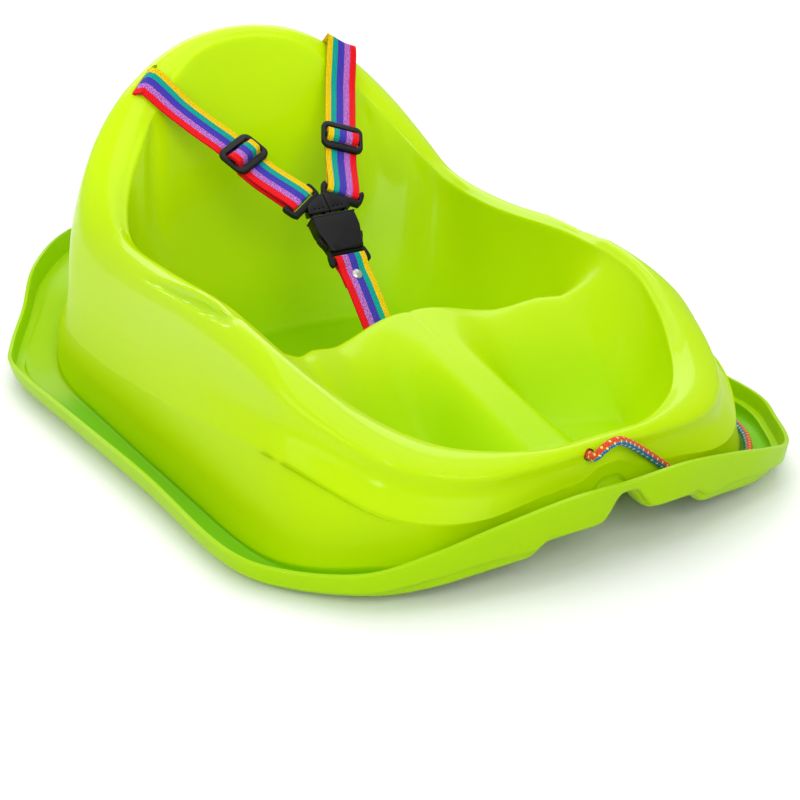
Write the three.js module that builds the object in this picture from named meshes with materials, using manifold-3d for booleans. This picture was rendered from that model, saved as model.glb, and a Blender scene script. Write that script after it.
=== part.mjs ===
// Baby pull sled: a one-piece moulded seat shell on two runner grooves, a three-point harness with
// rainbow webbing and black plastic fittings, and a braided pull rope.
// Millimetres, +Z up, the front of the sled faces -Y, the child's right is -X.

import * as THREE from "three";
import { mergeVertices } from "three/addons/utils/BufferGeometryUtils.js";
import Module from "manifold-3d";

const wasm = await Module();
wasm.setup();

// Overall sizes of the shell
const shellWidth = 446;
const shellLength = 651;
const shellHeight = 257;
const sheetThick = 3;
const halfWidth = shellWidth / 2 - sheetThick;

// Stations run from the front centre round the child's left side to the rear centre.
// Each row is x as a share of half the width, y of the length and z of the height.
const lipShares = [
  [0, -0.495, 0.226],
  [0.207, -0.495, 0.229],
  [0.426, -0.483, 0.194],
  [0.613, -0.467, 0.15],
  [0.771, -0.438, 0.107],
  [0.921, -0.369, 0.082],
  [0.994, -0.302, 0.092],
  [0.989, -0.137, 0.104],
  [0.996, 0.066, 0.1],
  [0.996, 0.223, 0.097],
  [0.936, 0.288, 0.1],
  [0.82, 0.344, 0.159],
  [0.684, 0.409, 0.248],
  [0.425, 0.478, 0.29],
  [0, 0.493, 0.294],
];
const footShares = [
  [0, -0.466, 0.148],
  [0.245, -0.465, 0.14],
  [0.418, -0.455, 0.101],
  [0.564, -0.439, 0.082],
  [0.672, -0.406, 0.062],
  [0.811, -0.352, 0.039],
  [0.868, -0.275, 0.023],
  [0.864, -0.113, 0.023],
  [0.85, 0.071, 0.023],
  [0.836, 0.207, 0.035],
  [0.791, 0.268, 0.093],
  [0.691, 0.317, 0.171],
  [0.536, 0.351, 0.218],
  [0.282, 0.369, 0.241],
  [0, 0.376, 0.249],
];
const shoulderShares = [
  [0, -0.464, 0.218],
  [0.219, -0.463, 0.206],
  [0.413, -0.458, 0.183],
  [0.549, -0.435, 0.179],
  [0.647, -0.4, 0.195],
  [0.739, -0.342, 0.241],
  [0.794, -0.265, 0.261],
  [0.821, -0.113, 0.23],
  [0.821, 0.071, 0.187],
  [0.811, 0.204, 0.195],
  [0.76, 0.25, 0.226],
  [0.636, 0.296, 0.28],
  [0.482, 0.323, 0.327],
  [0.255, 0.336, 0.358],
  [0, 0.339, 0.366],
];
const flankShares = [
  [0, -0.462, 0.261],
  [0.209, -0.46, 0.249],
  [0.4, -0.449, 0.233],
  [0.523, -0.425, 0.233],
  [0.623, -0.385, 0.257],
  [0.714, -0.325, 0.3],
  [0.764, -0.257, 0.327],
  [0.782, -0.113, 0.342],
  [0.782, 0.048, 0.327],
  [0.782, 0.182, 0.342],
  [0.75, 0.234, 0.42],
  [0.659, 0.273, 0.521],
  [0.514, 0.299, 0.599],
  [0.255, 0.313, 0.669],
  [0, 0.317, 0.685],
];
const ridgeShares = [
  [0, -0.462, 0.288],
  [0.2, -0.459, 0.284],
  [0.386, -0.446, 0.284],
  [0.514, -0.42, 0.296],
  [0.614, -0.379, 0.319],
  [0.695, -0.316, 0.374],
  [0.741, -0.248, 0.428],
  [0.745, -0.113, 0.463],
  [0.736, 0.025, 0.455],
  [0.732, 0.151, 0.475],
  [0.709, 0.207, 0.572],
  [0.609, 0.243, 0.72],
  [0.459, 0.268, 0.852],
  [0.245, 0.285, 0.946],
  [0, 0.293, 0.969],
];
const crestShares = [
  [0, -0.455, 0.3],
  [0.186, -0.451, 0.3],
  [0.364, -0.425, 0.304],
  [0.482, -0.391, 0.319],
  [0.573, -0.346, 0.354],
  [0.65, -0.288, 0.416],
  [0.695, -0.217, 0.475],
  [0.691, -0.113, 0.506],
  [0.682, 0.025, 0.494],
  [0.686, 0.136, 0.518],
  [0.645, 0.188, 0.607],
  [0.545, 0.219, 0.732],
  [0.409, 0.243, 0.868],
  [0.223, 0.262, 0.969],
  [0, 0.27, 1],
];
const innerShares = [
  [0, -0.445, 0.296],
  [0.182, -0.44, 0.292],
  [0.345, -0.411, 0.296],
  [0.45, -0.379, 0.311],
  [0.536, -0.337, 0.346],
  [0.609, -0.285, 0.401],
  [0.655, -0.217, 0.459],
  [0.65, -0.113, 0.486],
  [0.641, 0.025, 0.475],
  [0.645, 0.124, 0.494],
  [0.591, 0.176, 0.584],
  [0.491, 0.207, 0.708],
  [0.359, 0.23, 0.833],
  [0.195, 0.248, 0.938],
  [0, 0.256, 0.965],
];

// The pan ring is the edge of the seat floor; its height comes from floorHeight, so it has x and y only.
const panShares = [
  [0, -0.396],
  [0.155, -0.392],
  [0.282, -0.371],
  [0.364, -0.343],
  [0.427, -0.306],
  [0.473, -0.251],
  [0.491, -0.19],
  [0.482, -0.107],
  [0.473, -0.005],
  [0.445, 0.071],
  [0.391, 0.114],
  [0.309, 0.139],
  [0.218, 0.151],
  [0.109, 0.159],
  [0, 0.162],
];

// Heights of the tray ledge, and of the runner groove above its lowest place, as shares of the height
const ledgeShares = [
  0.117, 0.117, 0.117, 0.093, 0.062, 0.043, 0.051, 0.058, 0.058, 0.055, 0.058, 0.117, 0.187, 0.233, 0.24,
];
const grooveShares = [
  0.093, 0.086, 0.066, 0.043, 0.023, 0.006, 0, 0, 0, 0.006, 0.043, 0.109, 0.175, 0.218, 0.226,
];

// Where the tray's folds lie between the lip and the foot of the wall
const lipFootShare = 0.07;
const ledgeEdgeShare = 0.25;
const grooveOuterShare = 0.36;
const grooveInnerShare = 0.82;

// The tray's front stands up between the runners, and a tunnel is pressed up in its middle
const middleRise = 7;
const middleFlat = 58;
const middleHalf = 72;
const tunnelRise = 16;
const tunnelFlat = 6;
const tunnelHalf = 23;

// Seat floor, the step in front of it, the crotch hump and the two leg wells
const seatFloor = 24;
const crestFront = -75;
const crestSweep = 33;
const crestSpan = 105;
const humpTop = 92;
const saddleTop = 80;
const wallTop = 95;
const saddleShare = 0.57;
const stepRun = 46;
const humpFall = 42;
const humpRun = 165;
const humpFlat = 18;
const humpHalf = 52;
const legFloor = 29;
const legRun = 100;

// How the side of the seat falls from the inner edge of the crest to the pan
const wallPlanShares = [0.12, 0.42, 0.84];
const wallDropShares = [0.22, 0.62, 0.93];

// Mesh fineness
const stepsPerStation = 4;
const floorLoops = 6;
const mitreLeastShare = 0.7;
const turnSteps = 4;
const roundSteps = 16;

// Shared by every cut and every seat
const overrun = 12;
const clearance = 0.3;

// Harness webbing
const webWidth = 25.4;
const webThick = 1.4;
const hemThick = 4.6;
const hemLength = 6;
const webLayer = webThick + clearance;
const webReach = webThick / 2 + clearance;

// Slots through the shell, and the keeper plates behind them
const slotLength = 32;
const slotWidth = 5;
const shoulderSlotStation = 12.15;
const shoulderSlotShare = 0.26;
const crotchSlotBack = 27;
const crestLift = 1.6;
const keeperLength = 38;
const keeperDepth = 10;
const keeperThick = 3;
const keeperSlotLength = 28;
const keeperSlotWidth = 3.2;
const shoulderSag = 2.4;
const crotchSag = 1.4;

// The buckle stands in a frame of its own: X across the child, Y up the webbing, Z out of its face
const buckleY = 25.5;
const buckleZ = 125;
const buckleTilt = 43.8;
const socketWidth = 37;
const socketNeck = 28;
const socketTop = 14;
const socketWaist = -1;
const socketBottom = -17;
const socketThick = 12;
const socketWall = 3;
const cavityBottom = -14;
const cavityNeck = 22.8;
const latchThick = 5.6;
const windowTop = -1.8;
const windowBottom = -12.8;
const windowDeep = 9;

// Webbing bars: a loop below the socket and one on each latch
const barDepth = 3.6;
const barThick = 4;
const loopGap = 4.5;
const loopLength = 27;
const loopWall = 3;

// Each latch has a shoulder, a guide tongue and a spring arm that ends in a barb
const latchSeam = 0.4;
const shoulderTop = 32;
const shoulderEdge = 23.5;
const shoulderWidth = 17.6;
const shoulderSeat = 17.5;
const tongueWidth = 3.9;
const tongueEnd = -13;
const latchBarX = 19;
const latchBarY = 33;
const latchLean = 30;
const armSlack = 0.5;
const armThick = 2.8;
const armEnd = -12.5;
const armTipX = 11.6;
const barbOut = 3.3;
const barbFlat = 2.8;

// Sliding adjusters on the shoulder webbing
const adjusterX = 43.5;
const adjusterY = 83;
const adjusterZ = -6;
const adjusterWidth = 34;
const adjusterLength = 26;
const adjusterThick = 3.2;
const adjusterRim = 3.4;
const adjusterBar = 4.4;
const adjusterCorner = 2;
const sewnTail = 18;

// Rivet through the folded crotch webbing
const rivetY = -37.5;
const rivetHead = 8;
const rivetShank = 3.4;
const rivetRise = 1.2;
const foldEnd = -46;

// Pull rope: a stop knot behind the front wall, the free stretch, a hank in the tail tray and an end knot
const ropeThick = 6;
const ropeSides = 8;
const ropeSteps = 64;
const ropeHole = 8;
const ropeHoleX = -15;
const ropeHoleZ = 70.5;
const stopKnotDrop = 2.5;
const stopKnotWidth = 10;
const stopKnotDeep = 6.2;
const endKnotWidth = 10.4;
const endKnotLength = 12;
const hankRun = 115;
const hankFold = 15;
const hankPitch = 6.6;
const hankEndReach = 12;
const climbTurns = 0.5;
const hankSteps = 24;
const hankSides = 6;
const hankY = 276.5;
const hankZ = 65.4;

// The rope's free stretch, a chosen list of places along its middle
const ropeRoute = [
  [-15, -297.8, 70.5], [-15.2, -304.4, 70.4], [-14.6, -308, 72.9], [-11.4, -310.2, 77.2], [-5.4, -310.6, 79.8],
  [1.6, -309.4, 79], [9, -307.4, 75.2], [17.4, -305.8, 69.6], [27, -305, 62.4], [36, -305.4, 55.2],
  [45, -305.8, 47.6], [52, -306.4, 40.8], [61, -307, 35.4],
  [80, -305.4, 29], [103, -300, 22.8], [120, -295.4, 20.4], [134.2, -286.6, 18], [150.6, -271, 16],
  [165.6, -254.6, 14.2], [179, -235.6, 12.5], [191, -210, 9.4],
  [199, -180, 6.9], [202, -150, 6.5], [202, -50, 6.5], [202, 50, 6.5], [201, 105, 6.5],
  [199, 132, 8.2], [195, 156, 12.6], [188, 180, 22.6], [173, 208, 36.2], [152, 232, 47], [124, 249, 54.6],
  [92, 255.4, 60.6], [74, 255.4, 64.2], [64, 255.4, 65.4], [57.8, 255.4, 65.4],
];

// Colours by eye from the photograph
const lime = 0xa8e010;
const black = 0x17181a;
const steel = 0xd9dadb;
const webColour = 0x5a3f9e;
const ropeColour = 0xd8743a;

function material(color, roughness, metalness) {
  return new THREE.MeshStandardMaterial({ color, roughness, metalness });
}

function named(name, geometry, look) {
  const mesh = new THREE.Mesh(geometry, look);
  mesh.name = name;
  return mesh;
}

// Closed solids in and out of the boolean library
function toManifold(geometry) {
  const bare = geometry.clone();
  bare.deleteAttribute("normal");
  bare.deleteAttribute("uv");
  const welded = mergeVertices(bare, 1e-4);
  return new wasm.Manifold(new wasm.Mesh({
    numProp: 3,
    vertProperties: new Float32Array(welded.attributes.position.array),
    triVerts: new Uint32Array(welded.index.array),
  }));
}

function fromManifold(solid) {
  const mesh = solid.getMesh();
  const geometry = new THREE.BufferGeometry();
  geometry.setAttribute("position", new THREE.BufferAttribute(new Float32Array(mesh.vertProperties), 3));
  geometry.setIndex(new THREE.BufferAttribute(new Uint32Array(mesh.triVerts), 1));
  geometry.computeVertexNormals();
  return geometry;
}

function cut(body, ...tools) {
  let solid = toManifold(body);
  for (const tool of tools) solid = solid.subtract(toManifold(tool));
  return fromManifold(solid);
}

function join(...bodies) {
  let solid = toManifold(bodies[0]);
  for (const body of bodies.slice(1)) solid = solid.add(toManifold(body));
  return fromManifold(solid);
}

function box(width, depth, height, x = 0, y = 0, z = 0) {
  return new THREE.BoxGeometry(width, depth, height).translate(x, y, z);
}

// Rounded outline extruded about its middle plane
function plate(width, depth, height, corner) {
  const shape = new THREE.Shape();
  const x = width / 2;
  const y = depth / 2;
  shape.moveTo(-x + corner, -y);
  shape.lineTo(x - corner, -y);
  shape.absarc(x - corner, -y + corner, corner, -Math.PI / 2, 0);
  shape.lineTo(x, y - corner);
  shape.absarc(x - corner, y - corner, corner, 0, Math.PI / 2);
  shape.lineTo(-x + corner, y);
  shape.absarc(-x + corner, y - corner, corner, Math.PI / 2, Math.PI);
  shape.lineTo(-x, -y + corner);
  shape.absarc(-x + corner, -y + corner, corner, Math.PI, Math.PI * 1.5);
  const geometry = new THREE.ExtrudeGeometry(shape, { depth: height, bevelEnabled: false, curveSegments: 4 });
  return geometry.translate(0, 0, -height / 2);
}

function prism(points, height) {
  const shape = new THREE.Shape(points.map(([x, y]) => new THREE.Vector2(x, y)));
  const geometry = new THREE.ExtrudeGeometry(shape, { depth: height, bevelEnabled: false });
  return geometry.translate(0, 0, -height / 2);
}

// A closed skin over rows of points that all have the same count, capped at both ends
function skin(rows, closed) {
  const count = rows[0].length;
  const positions = rows.flat().flatMap((point) => [point.x, point.y, point.z]);
  const index = [];
  const bands = closed ? rows.length : rows.length - 1;
  for (let row = 0; row < bands; row += 1) {
    const next = (row + 1) % rows.length;
    for (let i = 0; i < count; i += 1) {
      const j = (i + 1) % count;
      const a = row * count + i;
      const b = row * count + j;
      const c = next * count + j;
      const d = next * count + i;
      index.push(a, b, c, a, c, d);
    }
  }
  if (!closed) {
    const last = (rows.length - 1) * count;
    for (let i = 1; i < count - 1; i += 1) {
      index.push(0, i + 1, i);
      index.push(last, last + i, last + i + 1);
    }
  }
  const geometry = new THREE.BufferGeometry();
  geometry.setAttribute("position", new THREE.Float32BufferAttribute(positions, 3));
  geometry.setIndex(index);
  geometry.computeVertexNormals();
  return geometry;
}

function smooth(from, to, value) {
  return THREE.MathUtils.smoothstep(value, from, to);
}

// Height of the seat's inside floor at a place in the plan
function floorHeight(x, y) {
  const side = Math.min(Math.abs(x) / crestSpan, 1);
  const crestY = crestFront - crestSweep * side * side;
  const toSaddle = smooth(0, saddleShare, side);
  const toWall = smooth(saddleShare, 1, side);
  const crestTop = THREE.MathUtils.lerp(THREE.MathUtils.lerp(humpTop, saddleTop, toSaddle), wallTop, toWall);
  const behind = y - crestY;
  if (behind > 0) return THREE.MathUtils.lerp(crestTop, seatFloor, smooth(0, stepRun, behind));
  const hump = humpTop - humpFall * Math.min(-behind / humpRun, 1);
  const leg = THREE.MathUtils.lerp(crestTop, legFloor, smooth(0, legRun, -behind));
  const away = smooth(humpFlat, humpHalf, Math.abs(x));
  return THREE.MathUtils.lerp(Math.min(hump, crestTop), leg, away);
}

function tunnelHeight(x) {
  return tunnelRise * (1 - smooth(tunnelFlat, tunnelHalf, Math.abs(x)));
}

function middleHeight(x) {
  return middleRise * (1 - smooth(middleFlat, middleHalf, Math.abs(x)));
}

// One ring of the shell: the stations mirrored into a closed curve
function ringCurve(places) {
  const mirror = places.slice(1, -1).reverse().map((place) => new THREE.Vector3(-place.x, place.y, place.z));
  return new THREE.CatmullRomCurve3([...places, ...mirror], true, "catmullrom", 0.5);
}

function ring(places) {
  const curve = ringCurve(places);
  const count = curve.points.length * stepsPerStation;
  return Array.from({ length: count }, (_, i) => curve.getPoint(i / count));
}

function placesFrom(shares) {
  return shares.map(([x, y, z]) => new THREE.Vector3(x * halfWidth, y * shellLength, (z ?? 0) * shellHeight));
}

// A fold of the tray, part of the way from the lip to the foot of the wall
function trayPlaces(share, heights) {
  const lip = placesFrom(lipShares);
  const foot = placesFrom(footShares);
  return lip.map((place, i) => place.clone().lerp(foot[i], share).setZ(heights[i]));
}

function trayRing(share, heights) {
  return ring(trayPlaces(share, heights)).map((point) => {
    const height = Math.max(point.z, sheetThick);
    const rise = point.y < 0 ? tunnelHeight(point.x) + middleHeight(point.x) : 0;
    return point.setZ(height + rise);
  });
}

function footRing() {
  return ring(placesFrom(footShares)).map((point) => {
    const rise = point.y < 0 ? tunnelHeight(point.x) : 0;
    return point.setZ(point.z + rise);
  });
}

function panRing() {
  return ring(placesFrom(panShares)).map((point) => point.setZ(floorHeight(point.x, point.y)));
}

function wallRing(inner, pan, plan, drop) {
  return inner.map((point, i) => {
    const moved = point.clone().lerp(pan[i], plan);
    return moved.setZ(THREE.MathUtils.lerp(point.z, pan[i].z, drop));
  });
}

// A ring halfway between two others, bent to run smoothly on to their neighbours
function halfway(before, start, end, after) {
  return start.map((point, i) => {
    const curve = new THREE.CatmullRomCurve3([before[i], point, end[i], after[i]], false, "catmullrom", 0.5);
    return curve.getPoint(0.5);
  });
}

function upperRings() {
  const ledgeHeights = ledgeShares.map((share) => share * shellHeight);
  const grooveHeights = grooveShares.map((share) => share * shellHeight + sheetThick);
  const lip = ring(placesFrom(lipShares));
  const lipFoot = trayRing(lipFootShare, ledgeHeights);
  const ledgeEdge = trayRing(ledgeEdgeShare, ledgeHeights);
  const grooveOuter = trayRing(grooveOuterShare, grooveHeights);
  const grooveInner = trayRing(grooveInnerShare, grooveHeights);
  const foot = footRing();
  const shoulder = ring(placesFrom(shoulderShares));
  const flank = ring(placesFrom(flankShares));
  const ridge = ring(placesFrom(ridgeShares));
  const crest = ring(placesFrom(crestShares));
  const inner = ring(placesFrom(innerShares));
  const pan = panRing();
  const walls = wallPlanShares.map((plan, i) => wallRing(inner, pan, plan, wallDropShares[i]));
  const rings = [lip, lipFoot, ledgeEdge, grooveOuter, grooveInner, foot];
  rings.push(halfway(grooveInner, foot, shoulder, flank));
  rings.push(shoulder, flank);
  rings.push(halfway(shoulder, flank, ridge, crest));
  rings.push(ridge, crest, inner, ...walls, pan);
  return rings;
}

// The floor inside the pan ring, as loops drawn in towards the middle of the seat
function floorRings(pan) {
  const middleY = (panShares[0][1] + panShares.at(-1)[1]) / 2 * shellLength;
  const loops = [];
  for (let loop = 1; loop < floorLoops; loop += 1) {
    const scale = 1 - loop / floorLoops;
    loops.push(pan.map((point) => {
      const x = point.x * scale;
      const y = middleY + (point.y - middleY) * scale;
      return new THREE.Vector3(x, y, floorHeight(x, y));
    }));
  }
  return { loops, middle: new THREE.Vector3(0, middleY, floorHeight(0, middleY)) };
}

// The underside: every ring moved one sheet thickness along the mitred normal of its section
function lowerRings(rings) {
  return rings.map((points, row) => points.map((point, i) => {
    const ahead = points[(i + 1) % points.length];
    const behind = points[(i - 1 + points.length) % points.length];
    const along = ahead.clone().sub(behind);
    const faces = [];
    if (row > 0) faces.push(point.clone().sub(rings[row - 1][i]).cross(along).normalize());
    if (row < rings.length - 1) faces.push(rings[row + 1][i].clone().sub(point).cross(along).normalize());
    const sum = faces.length > 1 ? faces[0].clone().add(faces[1]) : faces[0].clone();
    const spread = faces.length > 1 ? 1 + faces[0].dot(faces[1]) : 1;
    return point.clone().addScaledVector(sum, sheetThick / Math.max(spread, mitreLeastShare));
  }));
}

function shellBody() {
  const upper = upperRings();
  const floor = floorRings(upper.at(-1));
  const top = [...upper, ...floor.loops];
  const bottom = lowerRings(top);
  const count = top[0].length;
  const rows = [...top, ...bottom];
  const points = rows.flat();
  const index = [];
  const quad = (a, b, c, d) => index.push(a, b, c, a, c, d);
  for (let row = 0; row < top.length - 1; row += 1) {
    for (let i = 0; i < count; i += 1) {
      const j = (i + 1) % count;
      quad(row * count + i, row * count + j, (row + 1) * count + j, (row + 1) * count + i);
      const under = top.length + row;
      quad(under * count + j, under * count + i, (under + 1) * count + i, (under + 1) * count + j);
    }
  }
  const rimUnder = top.length * count;
  for (let i = 0; i < count; i += 1) {
    const j = (i + 1) % count;
    quad(j, i, rimUnder + i, rimUnder + j);
  }
  const topMiddle = points.length;
  points.push(floor.middle);
  const underMiddle = points.length;
  points.push(floor.middle.clone().setZ(floor.middle.z - sheetThick));
  const lastTop = (top.length - 1) * count;
  const lastBottom = (rows.length - 1) * count;
  for (let i = 0; i < count; i += 1) {
    const j = (i + 1) % count;
    index.push(lastTop + i, lastTop + j, topMiddle);
    index.push(lastBottom + j, lastBottom + i, underMiddle);
  }
  const geometry = new THREE.BufferGeometry();
  const places = points.flatMap((point) => [point.x, point.y, point.z]);
  geometry.setAttribute("position", new THREE.Float32BufferAttribute(places, 3));
  geometry.setIndex(index);
  geometry.computeVertexNormals();
  return geometry;
}

// Turn a solid's faces outwards
function outward(geometry) {
  const place = geometry.attributes.position;
  const index = Array.from(geometry.index.array);
  const corners = [new THREE.Vector3(), new THREE.Vector3(), new THREE.Vector3()];
  let volume = 0;
  for (let i = 0; i < index.length; i += 3) {
    corners.forEach((corner, k) => corner.fromBufferAttribute(place, index[i + k]));
    volume += corners[0].dot(corners[1].clone().cross(corners[2]));
  }
  if (volume < 0) {
    for (let i = 0; i < index.length; i += 3) [index[i], index[i + 1]] = [index[i + 1], index[i]];
    geometry.setIndex(index);
  }
  geometry.computeVertexNormals();
  return geometry;
}

// The same piece on the child's other side
function mirrored(geometry) {
  return outward(mergeVertices(geometry.clone().scale(-1, 1, 1), 1e-4));
}

function deg(angle) {
  return THREE.MathUtils.degToRad(angle);
}

// A frame from its origin and the directions of its X and Y
function frameFrom(origin, x, y) {
  const acrossAxis = x.clone().normalize();
  const faceAxis = acrossAxis.clone().cross(y).normalize();
  const alongAxis = faceAxis.clone().cross(acrossAxis);
  return new THREE.Matrix4().makeBasis(acrossAxis, alongAxis, faceAxis).setPosition(origin);
}

const buckleFrame = new THREE.Matrix4().makeRotationX(deg(buckleTilt)).setPosition(0, buckleY, buckleZ);

function axisOf(frame, number) {
  return new THREE.Vector3().setFromMatrixColumn(frame, number);
}

// Webbing as a ribbon: each row has a point, the direction of its width and its thickness
function ribbon(rows) {
  const sections = rows.map((row, i) => {
    const before = rows[Math.max(i - 1, 0)].point;
    const after = rows[Math.min(i + 1, rows.length - 1)].point;
    const along = after.clone().sub(before).normalize();
    const wide = row.width.clone().addScaledVector(along, -row.width.dot(along)).normalize();
    const face = wide.clone().cross(along);
    const halfThick = (row.thick ?? webThick) / 2;
    const corners = [[1, 1], [-1, 1], [-1, -1], [1, -1]];
    return corners.map(([side, up]) => row.point.clone()
      .addScaledVector(wide, side * webWidth / 2)
      .addScaledVector(face, up * halfThick));
  });
  return outward(skin(sections, false));
}

// Rows of a ribbon in a fitting's own frame, from pairs of place along the webbing and height over it
function rowsIn(frame, pairs) {
  const width = axisOf(frame, 0);
  return pairs.map(([along, height]) => {
    const point = new THREE.Vector3(0, along, height).applyMatrix4(frame);
    return { point, width };
  });
}

// The arc of webbing round one corner, as pairs
function turn(cornerAlong, cornerHeight, reach, from, to) {
  return Array.from({ length: turnSteps + 1 }, (_, i) => {
    const angle = deg(from + (to - from) * i / turnSteps);
    return [cornerAlong + reach * Math.cos(angle), cornerHeight + reach * Math.sin(angle)];
  });
}

// Places on the shell where webbing goes through, with the skin's directions there
function shoulderPlace() {
  const crest = ringCurve(placesFrom(crestShares));
  const ridge = ringCurve(placesFrom(ridgeShares));
  const inner = ringCurve(placesFrom(innerShares));
  const at = shoulderSlotStation / crest.points.length;
  const crestPoint = crest.getPoint(at);
  const origin = crestPoint.clone().lerp(ridge.getPoint(at), shoulderSlotShare);
  const along = crest.getTangent(at).negate();
  const face = crestPoint.clone().sub(origin).cross(along).normalize();
  const innerPoint = inner.getPoint(at);
  const innerFace = innerPoint.clone().sub(crestPoint).cross(along).normalize();
  const crestFace = face.clone().add(innerFace).normalize();
  const frame = frameFrom(origin, along, face.clone().cross(along));
  return { frame, crestPoint, crestFace, innerPoint, innerFace };
}

function crotchPlace() {
  const y = crestFront + crotchSlotBack;
  const rise = floorHeight(0, y + sheetThick) - floorHeight(0, y - sheetThick);
  const origin = new THREE.Vector3(0, y, floorHeight(0, y));
  const up = new THREE.Vector3(0, sheetThick * 2, rise);
  return { frame: frameFrom(origin, new THREE.Vector3(1, 0, 0), up) };
}

function slotCutter(frame) {
  return new THREE.BoxGeometry(slotLength, slotWidth, overrun * 1.5).applyMatrix4(frame);
}

function shell() {
  const shoulderSlot = slotCutter(shoulderPlace().frame);
  const otherSlot = shoulderSlot.clone().scale(-1, 1, 1);
  const crotchSlot = slotCutter(crotchPlace().frame);
  const hole = new THREE.CylinderGeometry(ropeHole / 2, ropeHole / 2, overrun, roundSteps);
  hole.translate(ropeHoleX, ridgeShares[0][1] * shellLength, ropeHoleZ);
  return cut(shellBody(), shoulderSlot, outward(otherSlot), crotchSlot, hole);
}

// A plate behind the skin that the webbing threads through
function keeper(frame, sag) {
  const drop = sheetThick + clearance + keeperThick / 2 + sag;
  const body = box(keeperLength, keeperDepth, keeperThick);
  const slot = box(keeperSlotLength, keeperSlotWidth, keeperThick + overrun);
  return cut(body, slot).translate(0, 0, -drop).applyMatrix4(frame);
}

function adjusterFrame() {
  const lower = new THREE.Vector3(latchBarX, latchBarY, 0);
  const middle = new THREE.Vector3(adjusterX, adjusterY, adjusterZ);
  const toBuckle = buckleFrame.clone().invert();
  const upper = shoulderPlace().crestPoint.applyMatrix4(toBuckle);
  const along = middle.clone().sub(lower).normalize().add(upper.sub(middle).normalize());
  const across = new THREE.Vector3(along.y, -along.x, 0);
  return buckleFrame.clone().multiply(frameFrom(middle, across, along));
}

function latchBarFrame() {
  const along = new THREE.Vector3(Math.sin(deg(latchLean)), Math.cos(deg(latchLean)), 0);
  const across = new THREE.Vector3(along.y, -along.x, 0);
  return frameFrom(new THREE.Vector3(latchBarX, latchBarY, 0), across, along);
}

// Heights of the webbing's layers behind an adjuster
const wrapReachX = adjusterBar / 2 + webReach;
const overReach = webReach + webLayer;
const backLayer = -adjusterThick / 2 - webReach - clearance;
const tailLayer = backLayer - webLayer;
const foldLayer = tailLayer - webLayer;

// The child's left shoulder webbing: keeper, slot, over the crest, adjuster, latch bar, back to the adjuster
function shoulderStrap() {
  const { frame, crestPoint, crestFace, innerPoint, innerFace } = shoulderPlace();
  const slotWidthAxis = axisOf(frame, 0);
  const face = axisOf(frame, 2);
  const outwards = axisOf(frame, 1);
  const origin = new THREE.Vector3().setFromMatrixPosition(frame);
  const overSkin = webThick / 2 + crestLift;
  const row = (point, thick) => ({ point, width: slotWidthAxis, thick });
  const below = (depth) => origin.clone().addScaledVector(face, -depth);
  const toCrest = outwards.dot(crestPoint.clone().sub(origin)) > 0 ? 1 : -1;
  const onSkin = origin.clone().addScaledVector(face, overSkin);
  const above = (step) => onSkin.clone().addScaledVector(outwards, toCrest * step);
  const hemTop = sheetThick + shoulderSag + keeperThick + clearance * 3;
  const rows = [row(below(hemTop + hemLength), hemThick), row(below(hemTop), hemThick)];
  rows.push(row(below(hemTop - clearance)), row(below(sheetThick / 2)));
  rows.push(row(above(webThick / 2)), row(above(webThick * 2)));
  rows.push(row(crestPoint.clone().addScaledVector(crestFace, overSkin)));
  rows.push(row(innerPoint.clone().addScaledVector(innerFace, overSkin)));
  const half = adjusterLength / 2;
  const barAlong = adjusterBar / 2;
  const barHigh = adjusterThick / 2;
  const running = [
    [half, backLayer],
    [half - adjusterRim, backLayer],
    [barAlong + overReach, 0],
    ...turn(barAlong, barHigh, overReach, 0, 90),
    ...turn(-barAlong, barHigh, overReach, 90, 180),
    [-barAlong - overReach, 0],
    [-half + adjusterRim, backLayer],
    [-half, backLayer],
  ];
  const latchHalf = barDepth / 2;
  const latchHigh = barThick / 2;
  const round = [
    ...turn(latchHalf, latchHigh, webReach, 90, 90).slice(0, 1),
    ...turn(-latchHalf, latchHigh, webReach, 90, 180),
    ...turn(-latchHalf, -latchHigh, webReach, 180, 270),
    ...turn(latchHalf, -latchHigh, webReach, 270, 270).slice(0, 1),
  ];
  const sewn = [
    [-sewnTail - webLayer * 2, foldLayer],
    [-wrapReachX - webLayer, foldLayer],
    ...turn(barAlong, -barHigh, webReach, -90, 0),
    ...turn(barAlong, barHigh, webReach, 0, 90),
    ...turn(-barAlong, barHigh, webReach, 90, 180),
    [-wrapReachX, -barHigh / 2],
    [-wrapReachX - webLayer * 2, tailLayer],
    [-sewnTail, tailLayer],
  ];
  sewn.splice(2, 0, [-barAlong, -barHigh - webReach]);
  const adjuster = adjusterFrame();
  const latch = buckleFrame.clone().multiply(latchBarFrame());
  rows.push(...rowsIn(adjuster, running), ...rowsIn(latch, round), ...rowsIn(adjuster, sewn));
  return ribbon(rows);
}

// Sliding adjuster: a rounded frame with a centre bar
function adjuster() {
  const opening = (adjusterLength - adjusterBar) / 2 - adjusterRim;
  const body = plate(adjusterWidth, adjusterLength, adjusterThick, adjusterCorner);
  const middle = (adjusterBar + opening) / 2;
  const wide = adjusterWidth - adjusterRim * 2;
  const high = adjusterThick + overrun;
  const geometry = cut(body, box(wide, opening, high, 0, middle, 0), box(wide, opening, high, 0, -middle, 0));
  return geometry.applyMatrix4(adjusterFrame());
}

// Loop of webbing bar: from the bar's middle back over the gap, set in its own frame
function barLoop(frame) {
  const depth = barDepth * 2 + loopGap;
  const middle = barDepth / 2 - depth / 2;
  const body = plate(loopLength + loopWall * 2, depth, barThick, adjusterCorner).translate(0, middle, 0);
  const gap = box(loopLength, loopGap, barThick + overrun, 0, -barDepth / 2 - loopGap / 2, 0);
  return cut(body, gap).applyMatrix4(frame);
}

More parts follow.
